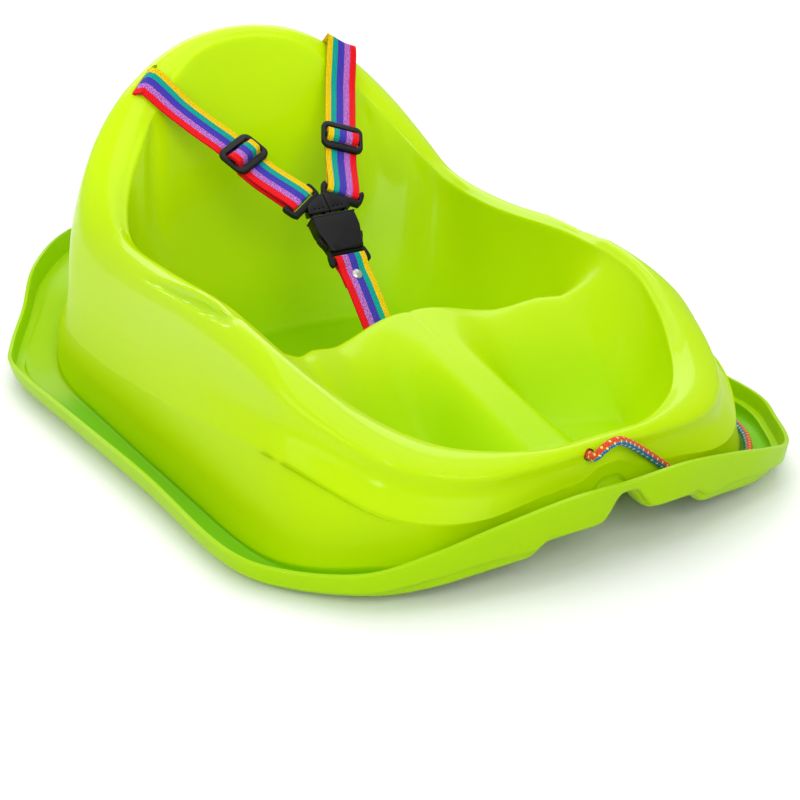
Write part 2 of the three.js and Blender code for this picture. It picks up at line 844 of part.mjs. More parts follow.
// The child's left half of the plug
function latch() {
  const shoulder = prism([
    [latchSeam, shoulderSeat],
    [shoulderWidth, shoulderSeat],
    [shoulderWidth, shoulderEdge],
    [latchSeam, shoulderTop],
  ], latchThick);
  const tongueLength = shoulderSeat + barDepth / 2 - tongueEnd;
  const tongueX = latchSeam + tongueWidth / 2;
  const tongueY = tongueEnd + tongueLength / 2;
  const tongue = box(tongueWidth, tongueLength, latchThick, tongueX, tongueY, 0);
  return join(shoulder, tongue, barLoop(latchBarFrame())).applyMatrix4(buckleFrame);
}

function latchArm() {
  const outer = socketWidth / 2 - socketWall - armSlack;
  const top = shoulderSeat - clearance;
  const ledge = windowTop - clearance;
  return prism([
    [outer, top],
    [outer, ledge + clearance],
    [outer + barbOut, ledge],
    [outer + barbOut, ledge - barbFlat],
    [armTipX + armThick - clearance, armEnd],
    [armTipX, armEnd],
    [outer - armThick, ledge - barbFlat],
    [outer - armThick, top],
  ], latchThick - clearance).applyMatrix4(buckleFrame);
}

// Socket: tapered case open at the top, a window on each side and a webbing bar below
function socket() {
  const half = socketWidth / 2;
  const neck = socketNeck / 2;
  const body = prism([
    [half, socketTop], [-half, socketTop], [-half, socketWaist],
    [-neck, socketBottom], [neck, socketBottom], [half, socketWaist],
  ], socketThick);
  const inside = half - socketWall;
  const hollow = prism([
    [inside, socketTop + overrun], [-inside, socketTop + overrun], [-inside, windowTop],
    [-cavityNeck / 2, cavityBottom], [cavityNeck / 2, cavityBottom], [inside, windowTop],
  ], latchThick + clearance * 2);
  const windowLength = windowTop - windowBottom;
  const windowMiddle = (windowTop + windowBottom) / 2;
  const windows = [1, -1].map((side) => box(
    windowDeep + overrun, windowLength, latchThick + clearance * 2,
    side * (half - windowDeep / 2 + overrun / 2), windowMiddle, 0,
  ));
  const loop = barLoop(new THREE.Matrix4().makeRotationZ(Math.PI).setPosition(0, lowerBarY(), 0));
  return join(cut(body, hollow, ...windows), loop).applyMatrix4(buckleFrame);
}

// The lower bar's middle: the loop's upper bar closes the bottom of the hollow
function lowerBarY() {
  return cavityBottom - barDepth * 1.5 - loopGap;
}

// Crotch webbing: folded round the socket's lower bar, riveted, and down through its slot in the step
function crotchStrap() {
  const barY = lowerBarY();
  const headClear = rivetHead / 2 + clearance;
  const half = barDepth / 2;
  const high = barThick / 2;
  const foldPlaces = [
    [foldEnd, -webLayer / 2],
    [rivetY + headClear, -webLayer / 2],
    ...turn(barY - half, -high, webReach, 270, 270).slice(0, 1),
    ...turn(barY + half, -high, webReach, 270, 360),
    ...turn(barY + half, high, webReach, 0, 90),
    ...turn(barY - half, high, webReach, 90, 90).slice(0, 1),
    [rivetY + headClear, webLayer / 2],
    [foldEnd, webLayer / 2],
  ];
  const rows = rowsIn(buckleFrame, foldPlaces);
  const { frame } = crotchPlace();
  const width = axisOf(frame, 0);
  const face = axisOf(frame, 2);
  const origin = new THREE.Vector3().setFromMatrixPosition(frame);
  const toBar = rows.at(-1).point.clone().sub(origin).normalize();
  const hemTop = sheetThick + crotchSag + keeperThick + clearance * 3;
  const below = (depth) => origin.clone().addScaledVector(face, -depth);
  rows.push({ point: origin.clone().addScaledVector(toBar, sheetThick), width });
  rows.push({ point: below(sheetThick), width }, { point: below(hemTop), width });
  rows.push({ point: below(hemTop + clearance), width, thick: hemThick });
  rows.push({ point: below(hemTop + hemLength), width, thick: hemThick });
  return cut(ribbon(rows), rivetBar(rivetShank / 2 + clearance, overrun));
}

function rivetBar(radius, length) {
  const bar = new THREE.CylinderGeometry(radius, radius, length, roundSteps).rotateX(Math.PI / 2);
  return bar.translate(0, rivetY, 0).applyMatrix4(buckleFrame);
}

function rivet() {
  const seat = webLayer / 2 + webThick / 2 + clearance;
  const shank = rivetShank / 2;
  const head = rivetHead / 2;
  const crown = seat + rivetRise;
  const profile = [
    [0, -crown], [shank, -crown], [head, -seat], [shank, -seat],
    [shank, seat], [head, seat], [shank, crown], [0, crown],
  ].map(([r, y]) => new THREE.Vector2(r, y));
  const geometry = new THREE.LatheGeometry(profile, roundSteps).rotateX(Math.PI / 2);
  return outward(weld(geometry.translate(0, rivetY, 0).applyMatrix4(buckleFrame)));
}

function weld(geometry) {
  geometry.deleteAttribute("normal");
  geometry.deleteAttribute("uv");
  return mergeVertices(geometry, 1e-4);
}

// The rope's free stretch, along its chosen places
function pullRope() {
  const places = ropeRoute.map(([x, y, z]) => new THREE.Vector3(x, y, z));
  const curve = new THREE.CatmullRomCurve3(places, false, "centripetal");
  const section = new THREE.Shape(Array.from({ length: ropeSides }, (_, i) => {
    const angle = Math.PI * 2 * i / ropeSides;
    return new THREE.Vector2(Math.cos(angle) * ropeThick / 2, Math.sin(angle) * ropeThick / 2);
  }));
  return new THREE.ExtrudeGeometry(section, { steps: ropeSteps, extrudePath: curve });
}

// One place along the hank: two straight runs and two folds, spiralling in and out again over two layers
const hankTurns = 1 + (hankRun * 2 + Math.PI * hankFold) / ((hankRun + Math.PI * hankFold) * 2);

function hankPlace(turns) {
  const middle = hankTurns / 2;
  const radius = hankFold + hankPitch * Math.abs(turns - middle);
  const climb = THREE.MathUtils.clamp((turns - middle + climbTurns / 2) / climbTurns, 0, 1);
  const fold = Math.PI * hankFold;
  const loop = (hankRun + fold) * 2;
  const travel = (turns % 1) * loop;
  const height = hankPitch * climb;
  if (travel < hankRun) return new THREE.Vector3(hankRun / 2 - travel, -radius, height);
  if (travel < hankRun + fold) {
    const angle = -Math.PI / 2 - (travel - hankRun) / hankFold;
    return new THREE.Vector3(-hankRun / 2 + radius * Math.cos(angle), radius * Math.sin(angle), height);
  }
  if (travel < hankRun * 2 + fold) return new THREE.Vector3(travel - hankRun * 1.5 - fold, radius, height);
  const angle = Math.PI / 2 - (travel - hankRun * 2 - fold) / hankFold;
  return new THREE.Vector3(hankRun / 2 + radius * Math.cos(angle), radius * Math.sin(angle), height);
}

function hankPoints() {
  const count = Math.ceil(hankTurns * hankSteps);
  const points = Array.from({ length: count + 1 }, (_, i) => hankPlace(hankTurns * i / count));
  const last = points.at(-1);
  points.push(last.clone().add(new THREE.Vector3(hankEndReach, 0, 0)));
  return points.map((point) => point.add(new THREE.Vector3(0, hankY, hankZ)));
}

// Least clear distance between parts of the hank that lie further apart along it than two folds
function leastGap(points) {
  const path = new THREE.CatmullRomCurve3(points, false, "centripetal");
  const length = path.getLength();
  const samples = path.getSpacedPoints(Math.round(length / (ropeThick / 2)));
  const apart = Math.round(hankFold * 2 / (ropeThick / 2));
  let least = length;
  for (let i = 0; i < samples.length; i += 1) {
    for (let j = i + apart; j < samples.length; j += 1) {
      least = Math.min(least, samples[i].distanceTo(samples[j]));
    }
  }
  return least - ropeThick;
}

function ropeHank() {
  const points = hankPoints();
  const rows = points.map((point, i) => {
    const before = points[Math.max(i - 1, 0)];
    const after = points[Math.min(i + 1, points.length - 1)];
    const along = after.clone().sub(before).normalize();
    const side = along.clone().cross(new THREE.Vector3(0, 0, 1)).normalize();
    const up = side.clone().cross(along);
    return Array.from({ length: hankSides }, (_, k) => {
      const angle = Math.PI * 2 * k / hankSides + Math.PI / hankSides;
      return point.clone()
        .addScaledVector(side, Math.cos(angle) * ropeThick / 2)
        .addScaledVector(up, Math.sin(angle) * ropeThick / 2);
    });
  });
  console.log(`hank: least gap to itself ${leastGap(points).toFixed(2)} mm`);
  return outward(skin(rows, false));
}

function knot(width, length, height) {
  const geometry = new THREE.SphereGeometry(1 / 2, roundSteps, roundSteps / 2);
  return weld(geometry.scale(width, length, height));
}

const looks = {
  shell: material(lime, 0.28, 0),
  plastic: material(black, 0.35, 0),
  metal: material(steel, 0.3, 0.8),
  web: material(webColour, 0.85, 0),
  rope: material(ropeColour, 0.8, 0),
};

const sled = new THREE.Group();
sled.name = "baby_sled";
sled.add(named("sled_shell", shell(), looks.shell));

// Pieces that come in pairs are drawn on the child's left and mirrored to the right
const pairs = [
  ["shoulder_strap", shoulderStrap(), looks.web],
  ["strap_keeper", keeper(shoulderPlace().frame, shoulderSag), looks.plastic],
  ["strap_adjuster", adjuster(), looks.plastic],
  ["latch", latch(), looks.plastic],
  ["latch_arm", latchArm(), looks.plastic],
];
for (const [name, geometry, look] of pairs) {
  sled.add(named(`left_${name}`, geometry, look));
  sled.add(named(`right_${name}`, mirrored(geometry), look));
}

sled.add(named("buckle_socket", socket(), looks.plastic));
sled.add(named("crotch_strap", crotchStrap(), looks.web));
sled.add(named("crotch_rivet", rivet(), looks.metal));
sled.add(named("crotch_keeper", keeper(crotchPlace().frame, crotchSag), looks.plastic));

sled.add(named("pull_rope", pullRope(), looks.rope));
sled.add(named("rope_hank", ropeHank(), looks.rope));

const wallY = ridgeShares[0][1] * shellLength;
const stopKnot = named("rope_stop_knot", knot(stopKnotWidth, stopKnotDeep, stopKnotWidth), looks.rope);
stopKnot.position.set(ropeHoleX, wallY + sheetThick + clearance + stopKnotDeep / 2, ropeHoleZ - stopKnotDrop);
sled.add(stopKnot);

const hankEnd = hankPoints().at(-1);
const endKnot = named("rope_end_knot", knot(endKnotLength, endKnotWidth, endKnotWidth), looks.rope);
endKnot.position.copy(hankEnd).add(new THREE.Vector3(clearance + endKnotLength / 2, 0, 0));
sled.add(endKnot);

export default sled;
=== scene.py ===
import math

import bmesh
import bpy
from mathutils import Matrix, Vector


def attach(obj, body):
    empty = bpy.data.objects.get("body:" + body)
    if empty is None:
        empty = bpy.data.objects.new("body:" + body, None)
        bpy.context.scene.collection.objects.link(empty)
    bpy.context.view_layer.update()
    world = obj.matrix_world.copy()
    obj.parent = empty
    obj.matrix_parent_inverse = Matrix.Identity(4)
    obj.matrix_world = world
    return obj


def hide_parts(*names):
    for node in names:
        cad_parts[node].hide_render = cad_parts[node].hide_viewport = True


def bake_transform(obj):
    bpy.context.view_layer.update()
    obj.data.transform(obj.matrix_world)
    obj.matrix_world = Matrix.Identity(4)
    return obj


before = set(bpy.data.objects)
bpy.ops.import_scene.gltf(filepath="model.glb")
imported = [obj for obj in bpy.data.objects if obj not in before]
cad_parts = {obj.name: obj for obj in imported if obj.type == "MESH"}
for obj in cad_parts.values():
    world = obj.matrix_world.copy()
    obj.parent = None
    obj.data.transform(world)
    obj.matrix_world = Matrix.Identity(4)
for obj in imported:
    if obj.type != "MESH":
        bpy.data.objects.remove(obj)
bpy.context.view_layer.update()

mm = 0.001


cameraValues = {
    "place": (-0.6130, -1.0292, 0.5098),
    "target": (-0.02082, -0.0935, 0.0345),
    "lens": 75.7,
    "sensor": 36,
    "roll": -0.57,
}


def makeCamera(values):
    place = Vector(values["place"])
    back = (place - Vector(values["target"])).normalized()
    right = Vector((0, 0, 1)).cross(back).normalized()
    up = back.cross(right)
    roll = math.radians(values["roll"])
    tiltedRight = right * math.cos(roll) + up * math.sin(roll)
    tiltedUp = up * math.cos(roll) - right * math.sin(roll)
    data = bpy.data.cameras.new("studioCamera")
    data.lens = values["lens"]
    data.sensor_width = values["sensor"]
    camera = bpy.data.objects.new("studioCamera", data)
    turned = Matrix((tiltedRight, tiltedUp, back)).transposed().to_4x4()
    camera.matrix_world = Matrix.Translation(place) @ turned
    bpy.context.collection.objects.link(camera)
    bpy.context.scene.camera = camera


makeCamera(cameraValues)
print("camera set")


class Term:
    def __init__(self, finish, socket):
        self.finish = finish
        self.socket = socket

    def __add__(self, other):
        return self.finish.maths("ADD", self, other)

    def __radd__(self, other):
        return self.finish.maths("ADD", other, self)

    def __sub__(self, other):
        return self.finish.maths("SUBTRACT", self, other)

    def __rsub__(self, other):
        return self.finish.maths("SUBTRACT", other, self)

    def __mul__(self, other):
        return self.finish.maths("MULTIPLY", self, other)

    def __rmul__(self, other):
        return self.finish.maths("MULTIPLY", other, self)

    def __pow__(self, other):
        return self.finish.maths("POWER", self, other)


class Finish:
    def __init__(self, name):
        self.material = bpy.data.materials.new(name)
        self.material.use_nodes = True
        self.tree = self.material.node_tree
        self.tree.nodes.clear()

    def node(self, kind, settings=None, inputs=None, output=0):
        made = self.tree.nodes.new("ShaderNode" + kind)
        for key, value in (settings or {}).items():
            if key == "stops":
                ramp = made.color_ramp
                while len(ramp.elements) < len(value):
                    ramp.elements.new(0.5)
                for element, (position, colour) in zip(ramp.elements, value):
                    element.position = position
                    element.color = (*colour, 1)
            elif key == "blending":
                made.color_ramp.interpolation = value
            else:
                setattr(made, key, value)
        for key, value in (inputs or {}).items():
            if isinstance(value, Term):
                self.tree.links.new(value.socket, made.inputs[key])
            else:
                made.inputs[key].default_value = value
        return Term(self, made.outputs[output])

    def maths(self, operation, first, second=0.0, third=0.0):
        return self.node("Math", {"operation": operation}, {0: first, 1: second, 2: third})

    def mix(self, factor, first, second):
        return self.node("Mix", {"data_type": "RGBA"}, {0: factor, 6: first, 7: second}, 2)

    def range(self, value, low, high, start=0.0, end=1.0):
        settings = {"interpolation_type": "SMOOTHSTEP", "clamp": True}
        return self.node("MapRange", settings, {0: value, 1: low, 2: high, 3: start, 4: end})

    def objectPlace(self):
        return self.node("TexCoord", output=3)

    def uvPlace(self):
        return self.node("TexCoord", output=2)

    def apart(self, vector, axis):
        return self.node("SeparateXYZ", inputs={0: vector}, output=axis)

    def scaled(self, vector, scale):
        return self.node("Mapping", inputs={"Vector": vector, "Scale": scale})

    def noise(self, vector, scale, detail=2.0, roughness=0.5):
        inputs = {"Vector": vector, "Scale": scale, "Detail": detail, "Roughness": roughness}
        return self.node("TexNoise", inputs=inputs)

    def shaded(self, colour, shade):
        return self.node("VectorMath", {"operation": "SCALE"}, {0: colour, "Scale": shade})

    def either(self, choice, first, second):
        return self.node("Mix", {"data_type": "FLOAT"}, {0: choice, 2: first, 3: second})

    def bump(self, height, strength, distance, normal=None):
        inputs = {"Height": height, "Strength": strength, "Distance": distance}
        if normal is not None:
            inputs["Normal"] = normal
        return self.node("Bump", inputs=inputs)

    def surface(self, inputs):
        shader = self.node("BsdfPrincipled", inputs=inputs)
        out = self.tree.nodes.new("ShaderNodeOutputMaterial")
        self.tree.links.new(shader.socket, out.inputs["Surface"])
        return self.material


def screen(red, green, blue):  # a colour as seen on screen, to the renderer's own scale
    def one(value):
        value /= 255
        return value / 12.92 if value <= 0.04045 else ((value + 0.055) / 1.055) ** 2.4
    return (one(red), one(green), one(blue))


def tone(red, green, blue):
    return (*screen(red, green, blue), 1)


plasticValues = {
    # painted light and shade: the tray, the seat and the groove are painted darker and the top lighter than
    # the middle colour; the scuff colour is real wear
    "low": (154, 196, 0),
    "middle": (178, 217, 0),
    "high": (196, 236, 0),
    "well": (140, 200, 0),
    "grooveShade": (98, 184, 0),
    "scuff": (200, 232, 90),
    "roughness": 0.34,
    "coat": 0.4,
    "subsurface": 0.2,
    "radius": (0.6, 1.0, 0.1),
    # where the painted shade and the coat change, as shares of the way from the lip to the seat's middle
    "grooveShadeStart": (0.116, 0.179),
    "grooveShadeEnd": (0.268, 0.242),
    "trayShadeEnd": (0.286, 0.242),
    "coatEnd": (0.573, 0.662),
    "wellShadeStart": (0.644, 0.734),
    # and in metres, up, along and across the sled
    "scuffUp": (0.012, 0.0015),
    "coatUp": (0.05, 0.11),
    "wellShadeUp": (0.085, 0.045),
    "paintedLightUp": (0.11, 0.19),
    "wellShadeAlong": (-0.09, -0.05),
    "grooveShadeAlong": (0.135, 0.085),
    "grooveShadeAcross": (0.03, 0.055),
}


def makeLimePlastic(values):
    finish = Finish("glossyLimePlastic")
    place = finish.objectPlace()
    cloud = finish.noise(place, 6.0)
    grain = finish.noise(place, 1400.0)
    peel = finish.noise(place, 60.0)
    smear = finish.noise(finish.scaled(place, (1, 0.35, 1)), 24.0, 4.0)
    drag = finish.noise(finish.scaled(place, (420, 9, 60)), 1.0, 5.0, 0.7)
    across, along, height = (finish.apart(place, axis) for axis in (0, 1, 2))
    fromLip = finish.apart(finish.uvPlace(), 1)
    upward = finish.apart(finish.node("NewGeometry", output=1), 2)
    scuff = finish.range(drag, 0.5, 0.68) * finish.range(height, *values["scuffUp"])
    scuff = scuff * finish.range(upward, -0.2, -0.6)
    # painted shade: the plastic is painted a deeper green along the tray's groove and low in the seat
    groove = finish.range(fromLip, *values["grooveShadeStart"]) * finish.range(fromLip, *values["grooveShadeEnd"])
    groove = groove * finish.range(along, *values["grooveShadeAlong"]) * finish.range(upward, -0.2, 0.1)
    groove = groove * finish.range(finish.maths("ABSOLUTE", across), *values["grooveShadeAcross"])
    # painted shade: the seat is painted darker low down, less so towards the front
    well = finish.range(fromLip, *values["wellShadeStart"]) * finish.range(height, *values["wellShadeUp"])
    well = well * finish.range(along, *values["wellShadeAlong"], 0.45, 0.85)
    # painted light: the shell is painted lighter towards its top, with a cloudy edge
    high = finish.range(height + (cloud - 0.5) * 0.02, *values["paintedLightUp"])
    # painted shade: the tray, from the lip in to the wall's foot, is painted in the darker low colour
    tray = finish.range(fromLip, *values["trayShadeEnd"])
    colour = tone(*values["middle"])
    masks = ((tray, "low"), (high, "high"), (groove * 0.7, "grooveShade"), (well, "well"), (scuff * 0.5, "scuff"))
    for mask, name in masks:
        colour = finish.mix(mask, colour, tone(*values[name]))
    roughness = finish.range(smear, 0.35, 0.75, 0.0, 0.1) + values["roughness"] + scuff * 0.3
    relief = finish.bump(grain, 0.04, 0.0002)
    relief = finish.bump(peel, 0.02, 0.001, relief)
    relief = finish.bump(scuff, 0.2, 0.0004, relief)
    coat = finish.range(height, *values["coatUp"], 0.03, values["coat"])
    return finish.surface({
        "Base Color": colour,
        "Roughness": roughness,
        "Normal": relief,
        "IOR": 1.3,
        "Specular IOR Level": 0.16,
        "Coat Weight": coat * finish.range(fromLip, *values["coatEnd"], 1.0, 0.3),
        "Coat Roughness": 0.07,
        "Subsurface Weight": values["subsurface"],
        "Subsurface Radius": values["radius"],
        "Subsurface Scale": 0.012,
    })


fittingValues = {"dark": (7, 7, 8), "edgeHighlight": (24, 24, 26), "roughness": 0.34}


def makeBlackPlastic(values):
    finish = Finish("satinBlackPlastic")
    place = finish.objectPlace()
    grain = finish.noise(place, 2600.0)
    cloud = finish.noise(place, 160.0, 4.0)
    edge = finish.node("NewGeometry", output=7)
    # painted highlight: the convex edges are painted lighter, in patches
    edgeHighlight = finish.range(edge, 0.53, 0.62) * finish.range(cloud, 0.4, 0.7)
    colour = finish.mix(edgeHighlight * 0.7, tone(*values["dark"]), tone(*values["edgeHighlight"]))
    roughness = finish.range(cloud, 0.3, 0.75, 0.0, 0.16) + values["roughness"]
    relief = finish.bump(grain, 0.12, 0.0001)
    return finish.surface({"Base Color": colour, "Roughness": roughness, "Normal": relief, "IOR": 1.34})


steelValues = {"bright": (214, 212, 205), "dull": (168, 165, 158), "roughness": 0.26}


def makeSteel(values):
    finish = Finish("platedSteel")
    place = finish.objectPlace()
    cloud = finish.noise(place, 420.0, 4.0)
    turned = finish.noise(finish.scaled(place, (5200, 300, 300)), 1.0)
    colour = finish.mix(finish.range(cloud, 0.35, 0.7), tone(*values["bright"]), tone(*values["dull"]))
    roughness = finish.range(cloud, 0.3, 0.7, 0.0, 0.16) + values["roughness"]
    relief = finish.bump(turned, 0.1, 0.00005)
    return finish.surface({"Base Color": colour, "Roughness": roughness, "Metallic": 0.9, "Normal": relief})


webbingValues = {
    "stops": [
        (0.0, (255, 214, 0)),
        (0.185, (0, 176, 158)),
        (0.365, (72, 62, 190)),
        (0.6, (178, 76, 200)),
        (0.79, (255, 16, 28)),
    ],
    "width": 0.0254,
    "yarn": 0.00115,
    "pick": 0.00095,
    "fleck": (240, 196, 240),
}


def makeWebbing(values):
    # the webbing's own map holds metres across and along
    finish = Finish("rainbowWebbing")
    place = finish.uvPlace()
    across = finish.apart(place, 0)
    along = finish.apart(place, 1)
    wander = finish.noise(finish.scaled(place, (900, 900, 1)), 1.0)
    zigzag = finish.maths("PINGPONG", along, 0.0012) * (0.35 / values["width"])
    share = across * (1 / values["width"]) + (wander - 0.5) * 0.03 + zigzag
    stripes = [(position, screen(*colour)) for position, colour in values["stops"]]
    colour = finish.node("ValToRGB", {"blending": "CONSTANT", "stops": stripes}, {0: share})
    yarns = across * (1 / values["yarn"])
    picks = along * (1 / values["pick"])
    step = finish.maths("FLOOR", yarns) * 0.5
    weave = finish.maths("SINE", (picks + step) * (2 * math.pi))
    rib = finish.maths("ABSOLUTE", finish.maths("SINE", yarns * math.pi))
    woven = (weave * 0.35 + 0.65) * rib
    pinkBand = finish.range(share, 0.58, 0.62) * finish.range(share, 0.81, 0.77)
    fleck = finish.range(finish.noise(finish.scaled(place, (900, 1500, 1)), 1.0), 0.5, 0.58)
    colour = finish.mix(pinkBand * fleck * 0.75, colour, tone(*values["fleck"]))
    speck = finish.noise(finish.scaled(place, (1100, 1700, 1)), 1.0)
    # painted shade: the weave's hollows are painted darker, and the speck varies the tone at random
    shade = finish.range(woven, 0.0, 0.75, 0.5, 1.12) * finish.range(speck, 0.4, 0.6, 0.72, 1.2)
    colour = finish.shaded(colour, shade)
    fuzz = finish.noise(finish.scaled(place, (4000, 4000, 1)), 1.0)
    relief = finish.bump(woven + fuzz * 0.25, 0.7, 0.0004)
    roughness = finish.range(woven, 0.0, 1.0, 0.92, 0.66)
    return finish.surface({
        "Base Color": colour,
        "Roughness": roughness,
        "Normal": relief,
        "Sheen Weight": 0.06,
        "Sheen Roughness": 0.4,
        "Specular IOR Level": 0.15,
    })


threadValues = {"light": (232, 226, 214), "dark": (176, 168, 150)}


def makeThread(values):
    finish = Finish("sewingThread")
    place = finish.objectPlace()
    twist = finish.noise(place, 3000.0)
    colour = finish.mix(finish.range(twist, 0.35, 0.65), tone(*values["light"]), tone(*values["dark"]))
    relief = finish.bump(twist, 0.4, 0.0002)
    roughness = finish.range(twist, 0.3, 0.7, 0.7, 0.85)
    return finish.surface({"Base Color": colour, "Roughness": roughness, "Normal": relief})


ropeLook = {
    "strands": 6,
    "pitch": 0.0105,
    "turnsPerMetre": -1.2,
    "start": 0.54,
    "warm": ((240, 70, 20), (255, 226, 90)),
    "cool": ((0, 100, 190), (0, 160, 170)),
    "pale": (236, 232, 150),
}


def makeBraid(values):
    # two sets of strands wound against each other, one over the other in turn; the map holds turns and metres
    finish = Finish("braidedRope")
    place = finish.uvPlace()
    around = finish.apart(place, 0)
    along = finish.apart(place, 1)
    strands = values["strands"]
    rise = along * (1 / values["pitch"])
    one = (around + rise) * strands
    two = (around - rise) * strands
    oneCell = finish.maths("FLOOR", one)
    twoCell = finish.maths("FLOOR", two)
    inOne = one - oneCell
    inTwo = two - twoCell
    turn = finish.maths("FLOORED_MODULO", oneCell + twoCell, 2.0)
    acrossStrand = finish.either(turn, inOne, inTwo)
    alongStrand = finish.either(turn, inTwo, inOne)
    hump = finish.maths("SINE", acrossStrand * math.pi) ** 0.6
    lift = hump * (finish.maths("SINE", alongStrand * math.pi) * 0.45 + 0.55)
    strand = finish.either(turn, oneCell, twoCell)
    pale = finish.maths("COMPARE", finish.maths("FLOORED_MODULO", strand, 3.0), 1.0, 0.1) * turn
    half = finish.maths("FRACT", around + along * values["turnsPerMetre"] + values["start"])
    coolSide = finish.range(half, 0.48, 0.52) * finish.range(half, 1.0, 0.97)
    warm = finish.mix(pale, tone(*values["warm"][0]), tone(*values["warm"][1]))
    cool = finish.mix(turn, tone(*values["cool"][0]), tone(*values["cool"][1]))
    cool = finish.mix(pale, cool, tone(*values["pale"]))
    colour = finish.mix(coolSide, warm, cool)
    fibre = finish.noise(finish.scaled(place, (60, 2600, 1)), 1.0, 3.0)
    # painted shade: the hollows between the strands are painted darker, and the fibre varies the tone at
    # random
    shade = finish.range(lift, 0.1, 0.7, 0.4, 1.0) * finish.range(fibre, 0.3, 0.7, 0.85, 1.05)
    colour = finish.shaded(colour, shade)
    relief = finish.bump(lift + fibre * 0.12, 0.9, 0.0007)
    roughness = finish.range(fibre, 0.3, 0.7, 0.68, 0.86)
    return finish.surface({
        "Base Color": colour,
        "Roughness": roughness,
        "Normal": relief,
        "Sheen Weight": 0.1,
        "Specular IOR Level": 0.3,
    })


def makeFloorFinish():
    finish = Finish("paleStudioFloor")
    place = finish.objectPlace()
    cloud = finish.noise(place, 2.0)
    colour = finish.mix(finish.range(cloud, 0.3, 0.7), tone(250, 250, 250), tone(247, 247, 248))
    return finish.surface({"Base Color": colour, "Roughness": 0.85})


limePlastic = makeLimePlastic(plasticValues)
blackPlastic = makeBlackPlastic(fittingValues)
platedSteel = makeSteel(steelValues)
rainbowWebbing = makeWebbing(webbingValues)
sewingThread = makeThread(threadValues)
braidedRope = makeBraid(ropeLook)
print("finishes made")


def addPiece(name, bm, material, smooth=35):
    mesh = bpy.data.meshes.new(name)
    bm.to_mesh(mesh)
    bm.free()
    mesh.materials.append(material)
    mesh.shade_smooth()
    if smooth:
        mesh.set_sharp_from_angle(angle=math.radians(smooth))
    piece = bpy.data.objects.new(name, mesh)
    bpy.context.collection.objects.link(piece)
    return piece


def settle(piece, smooth=35):
    # the modifiers' result becomes the mesh
    bpy.context.view_layer.update()
    graph = bpy.context.evaluated_depsgraph_get()
    mesh = bpy.data.meshes.new_from_object(piece.evaluated_get(graph), depsgraph=graph)
    piece.modifiers.clear()
    old = piece.data
    piece.data = mesh
    bpy.data.meshes.remove(old)
    mesh.shade_smooth()
    if smooth:
        mesh.set_sharp_from_angle(angle=math.radians(smooth))


def soften(piece, width, segments=3, angle=32):
    bevel = piece.modifiers.new("softEdges", "BEVEL")
    bevel.width = width
    bevel.segments = segments
    bevel.limit_method = "ANGLE"
    bevel.angle_limit = math.radians(angle)
    bevel.profile = 0.5
    settle(piece)


def discard(piece):
    mesh = piece.data
    bpy.data.objects.remove(piece)
    bpy.data.meshes.remove(mesh)


def cutWith(piece, cutters):
    for cutter in cutters:
        step = piece.modifiers.new("cut", "BOOLEAN")
        step.operation = "DIFFERENCE"
        step.solver = "EXACT"
        step.object = cutter
        settle(piece)
        discard(cutter)


def block(size, place=(0, 0, 0)):
    # a plain block in millimetres, to be bevelled or to cut with
    bm = bmesh.new()
    bmesh.ops.create_cube(bm, size=1)
    bmesh.ops.scale(bm, vec=Vector(size) * mm, verts=bm.verts)
    bmesh.ops.translate(bm, verts=bm.verts, vec=Vector(place) * mm)
    return bm


def mirrorBm(bm):
    bmesh.ops.scale(bm, vec=(-1, 1, 1), verts=bm.verts)
    bmesh.ops.reverse_faces(bm, faces=bm.faces)


def sided(name, side, bm, material, smooth=35):
    if side == "right":
        mirrorBm(bm)
    return addPiece(f"{side}{name}" if side else name, bm, material, smooth)


def lengthsAlong(line):
    # how far along the line each of its points lies
    lengths = [0.0]
    for a, b in zip(line, line[1:]):
        lengths.append(lengths[-1] + (b - a).length)
    return lengths


def lerp(start, end, share):
    return start + (end - start) * share


def smoothStep(low, high, value):
    share = min(max((value - low) / (high - low), 0), 1)
    return share * share * (3 - 2 * share)


def catmull(before, start, end, after, t):
    return 0.5 * (2 * start + (end - before) * t + (2 * before - 5 * start + 4 * end - after) * t * t
                  + (3 * start - before - 3 * end + after) * t * t * t)


def through(points, spacing):
    # a smooth open line through points, centripetal, sampled about every spacing
    line = []
    for i in range(len(points) - 1):
        start, end = points[i], points[i + 1]
        before = points[i - 1] if i else start * 2 - end
        after = points[i + 2] if i + 2 < len(points) else end * 2 - start
        gaps = [max((b - a).length, 1e-7) ** 0.5 for a, b in ((before, start), (start, end), (end, after))]
        knots = [0, gaps[0], gaps[0] + gaps[1], sum(gaps)]
        count = max(1, round((end - start).length / spacing))
        for k in range(count):
            t = knots[1] + gaps[1] * k / count

            def blendOf(a, b, low, high):
                return a * ((high - t) / (high - low)) + b * ((t - low) / (high - low))

            one = blendOf(before, start, knots[0], knots[1])
            two = blendOf(start, end, knots[1], knots[2])
            three = blendOf(end, after, knots[2], knots[3])
            four = blendOf(one, two, knots[0], knots[2])
            five = blendOf(two, three, knots[1], knots[3])
            line.append(blendOf(four, five, knots[1], knots[2]))
    line.append(points[-1].copy())
    return line


def gridThrough(columns, rows, placeAt, uvAt=None, closed=False):
    # a grid whose points are put where placeAt(column, row) says
    bm = bmesh.new()
    layer = bm.loops.layers.uv.new("UVMap")
    bmesh.ops.create_grid(bm, x_segments=columns, y_segments=rows, size=1)
    stations = {}
    for vert in bm.verts:
        stations[vert] = (round((vert.co.x + 1) / 2 * columns), round((vert.co.y + 1) / 2 * rows))
    for face in bm.faces:
        for loop in face.loops:
            if uvAt:
                loop[layer].uv = uvAt(*stations[loop.vert])
    for vert, (column, row) in stations.items():
        vert.co = placeAt(column, row)
    if closed:
        bmesh.ops.remove_doubles(bm, verts=bm.verts, dist=1e-6)
    return bm


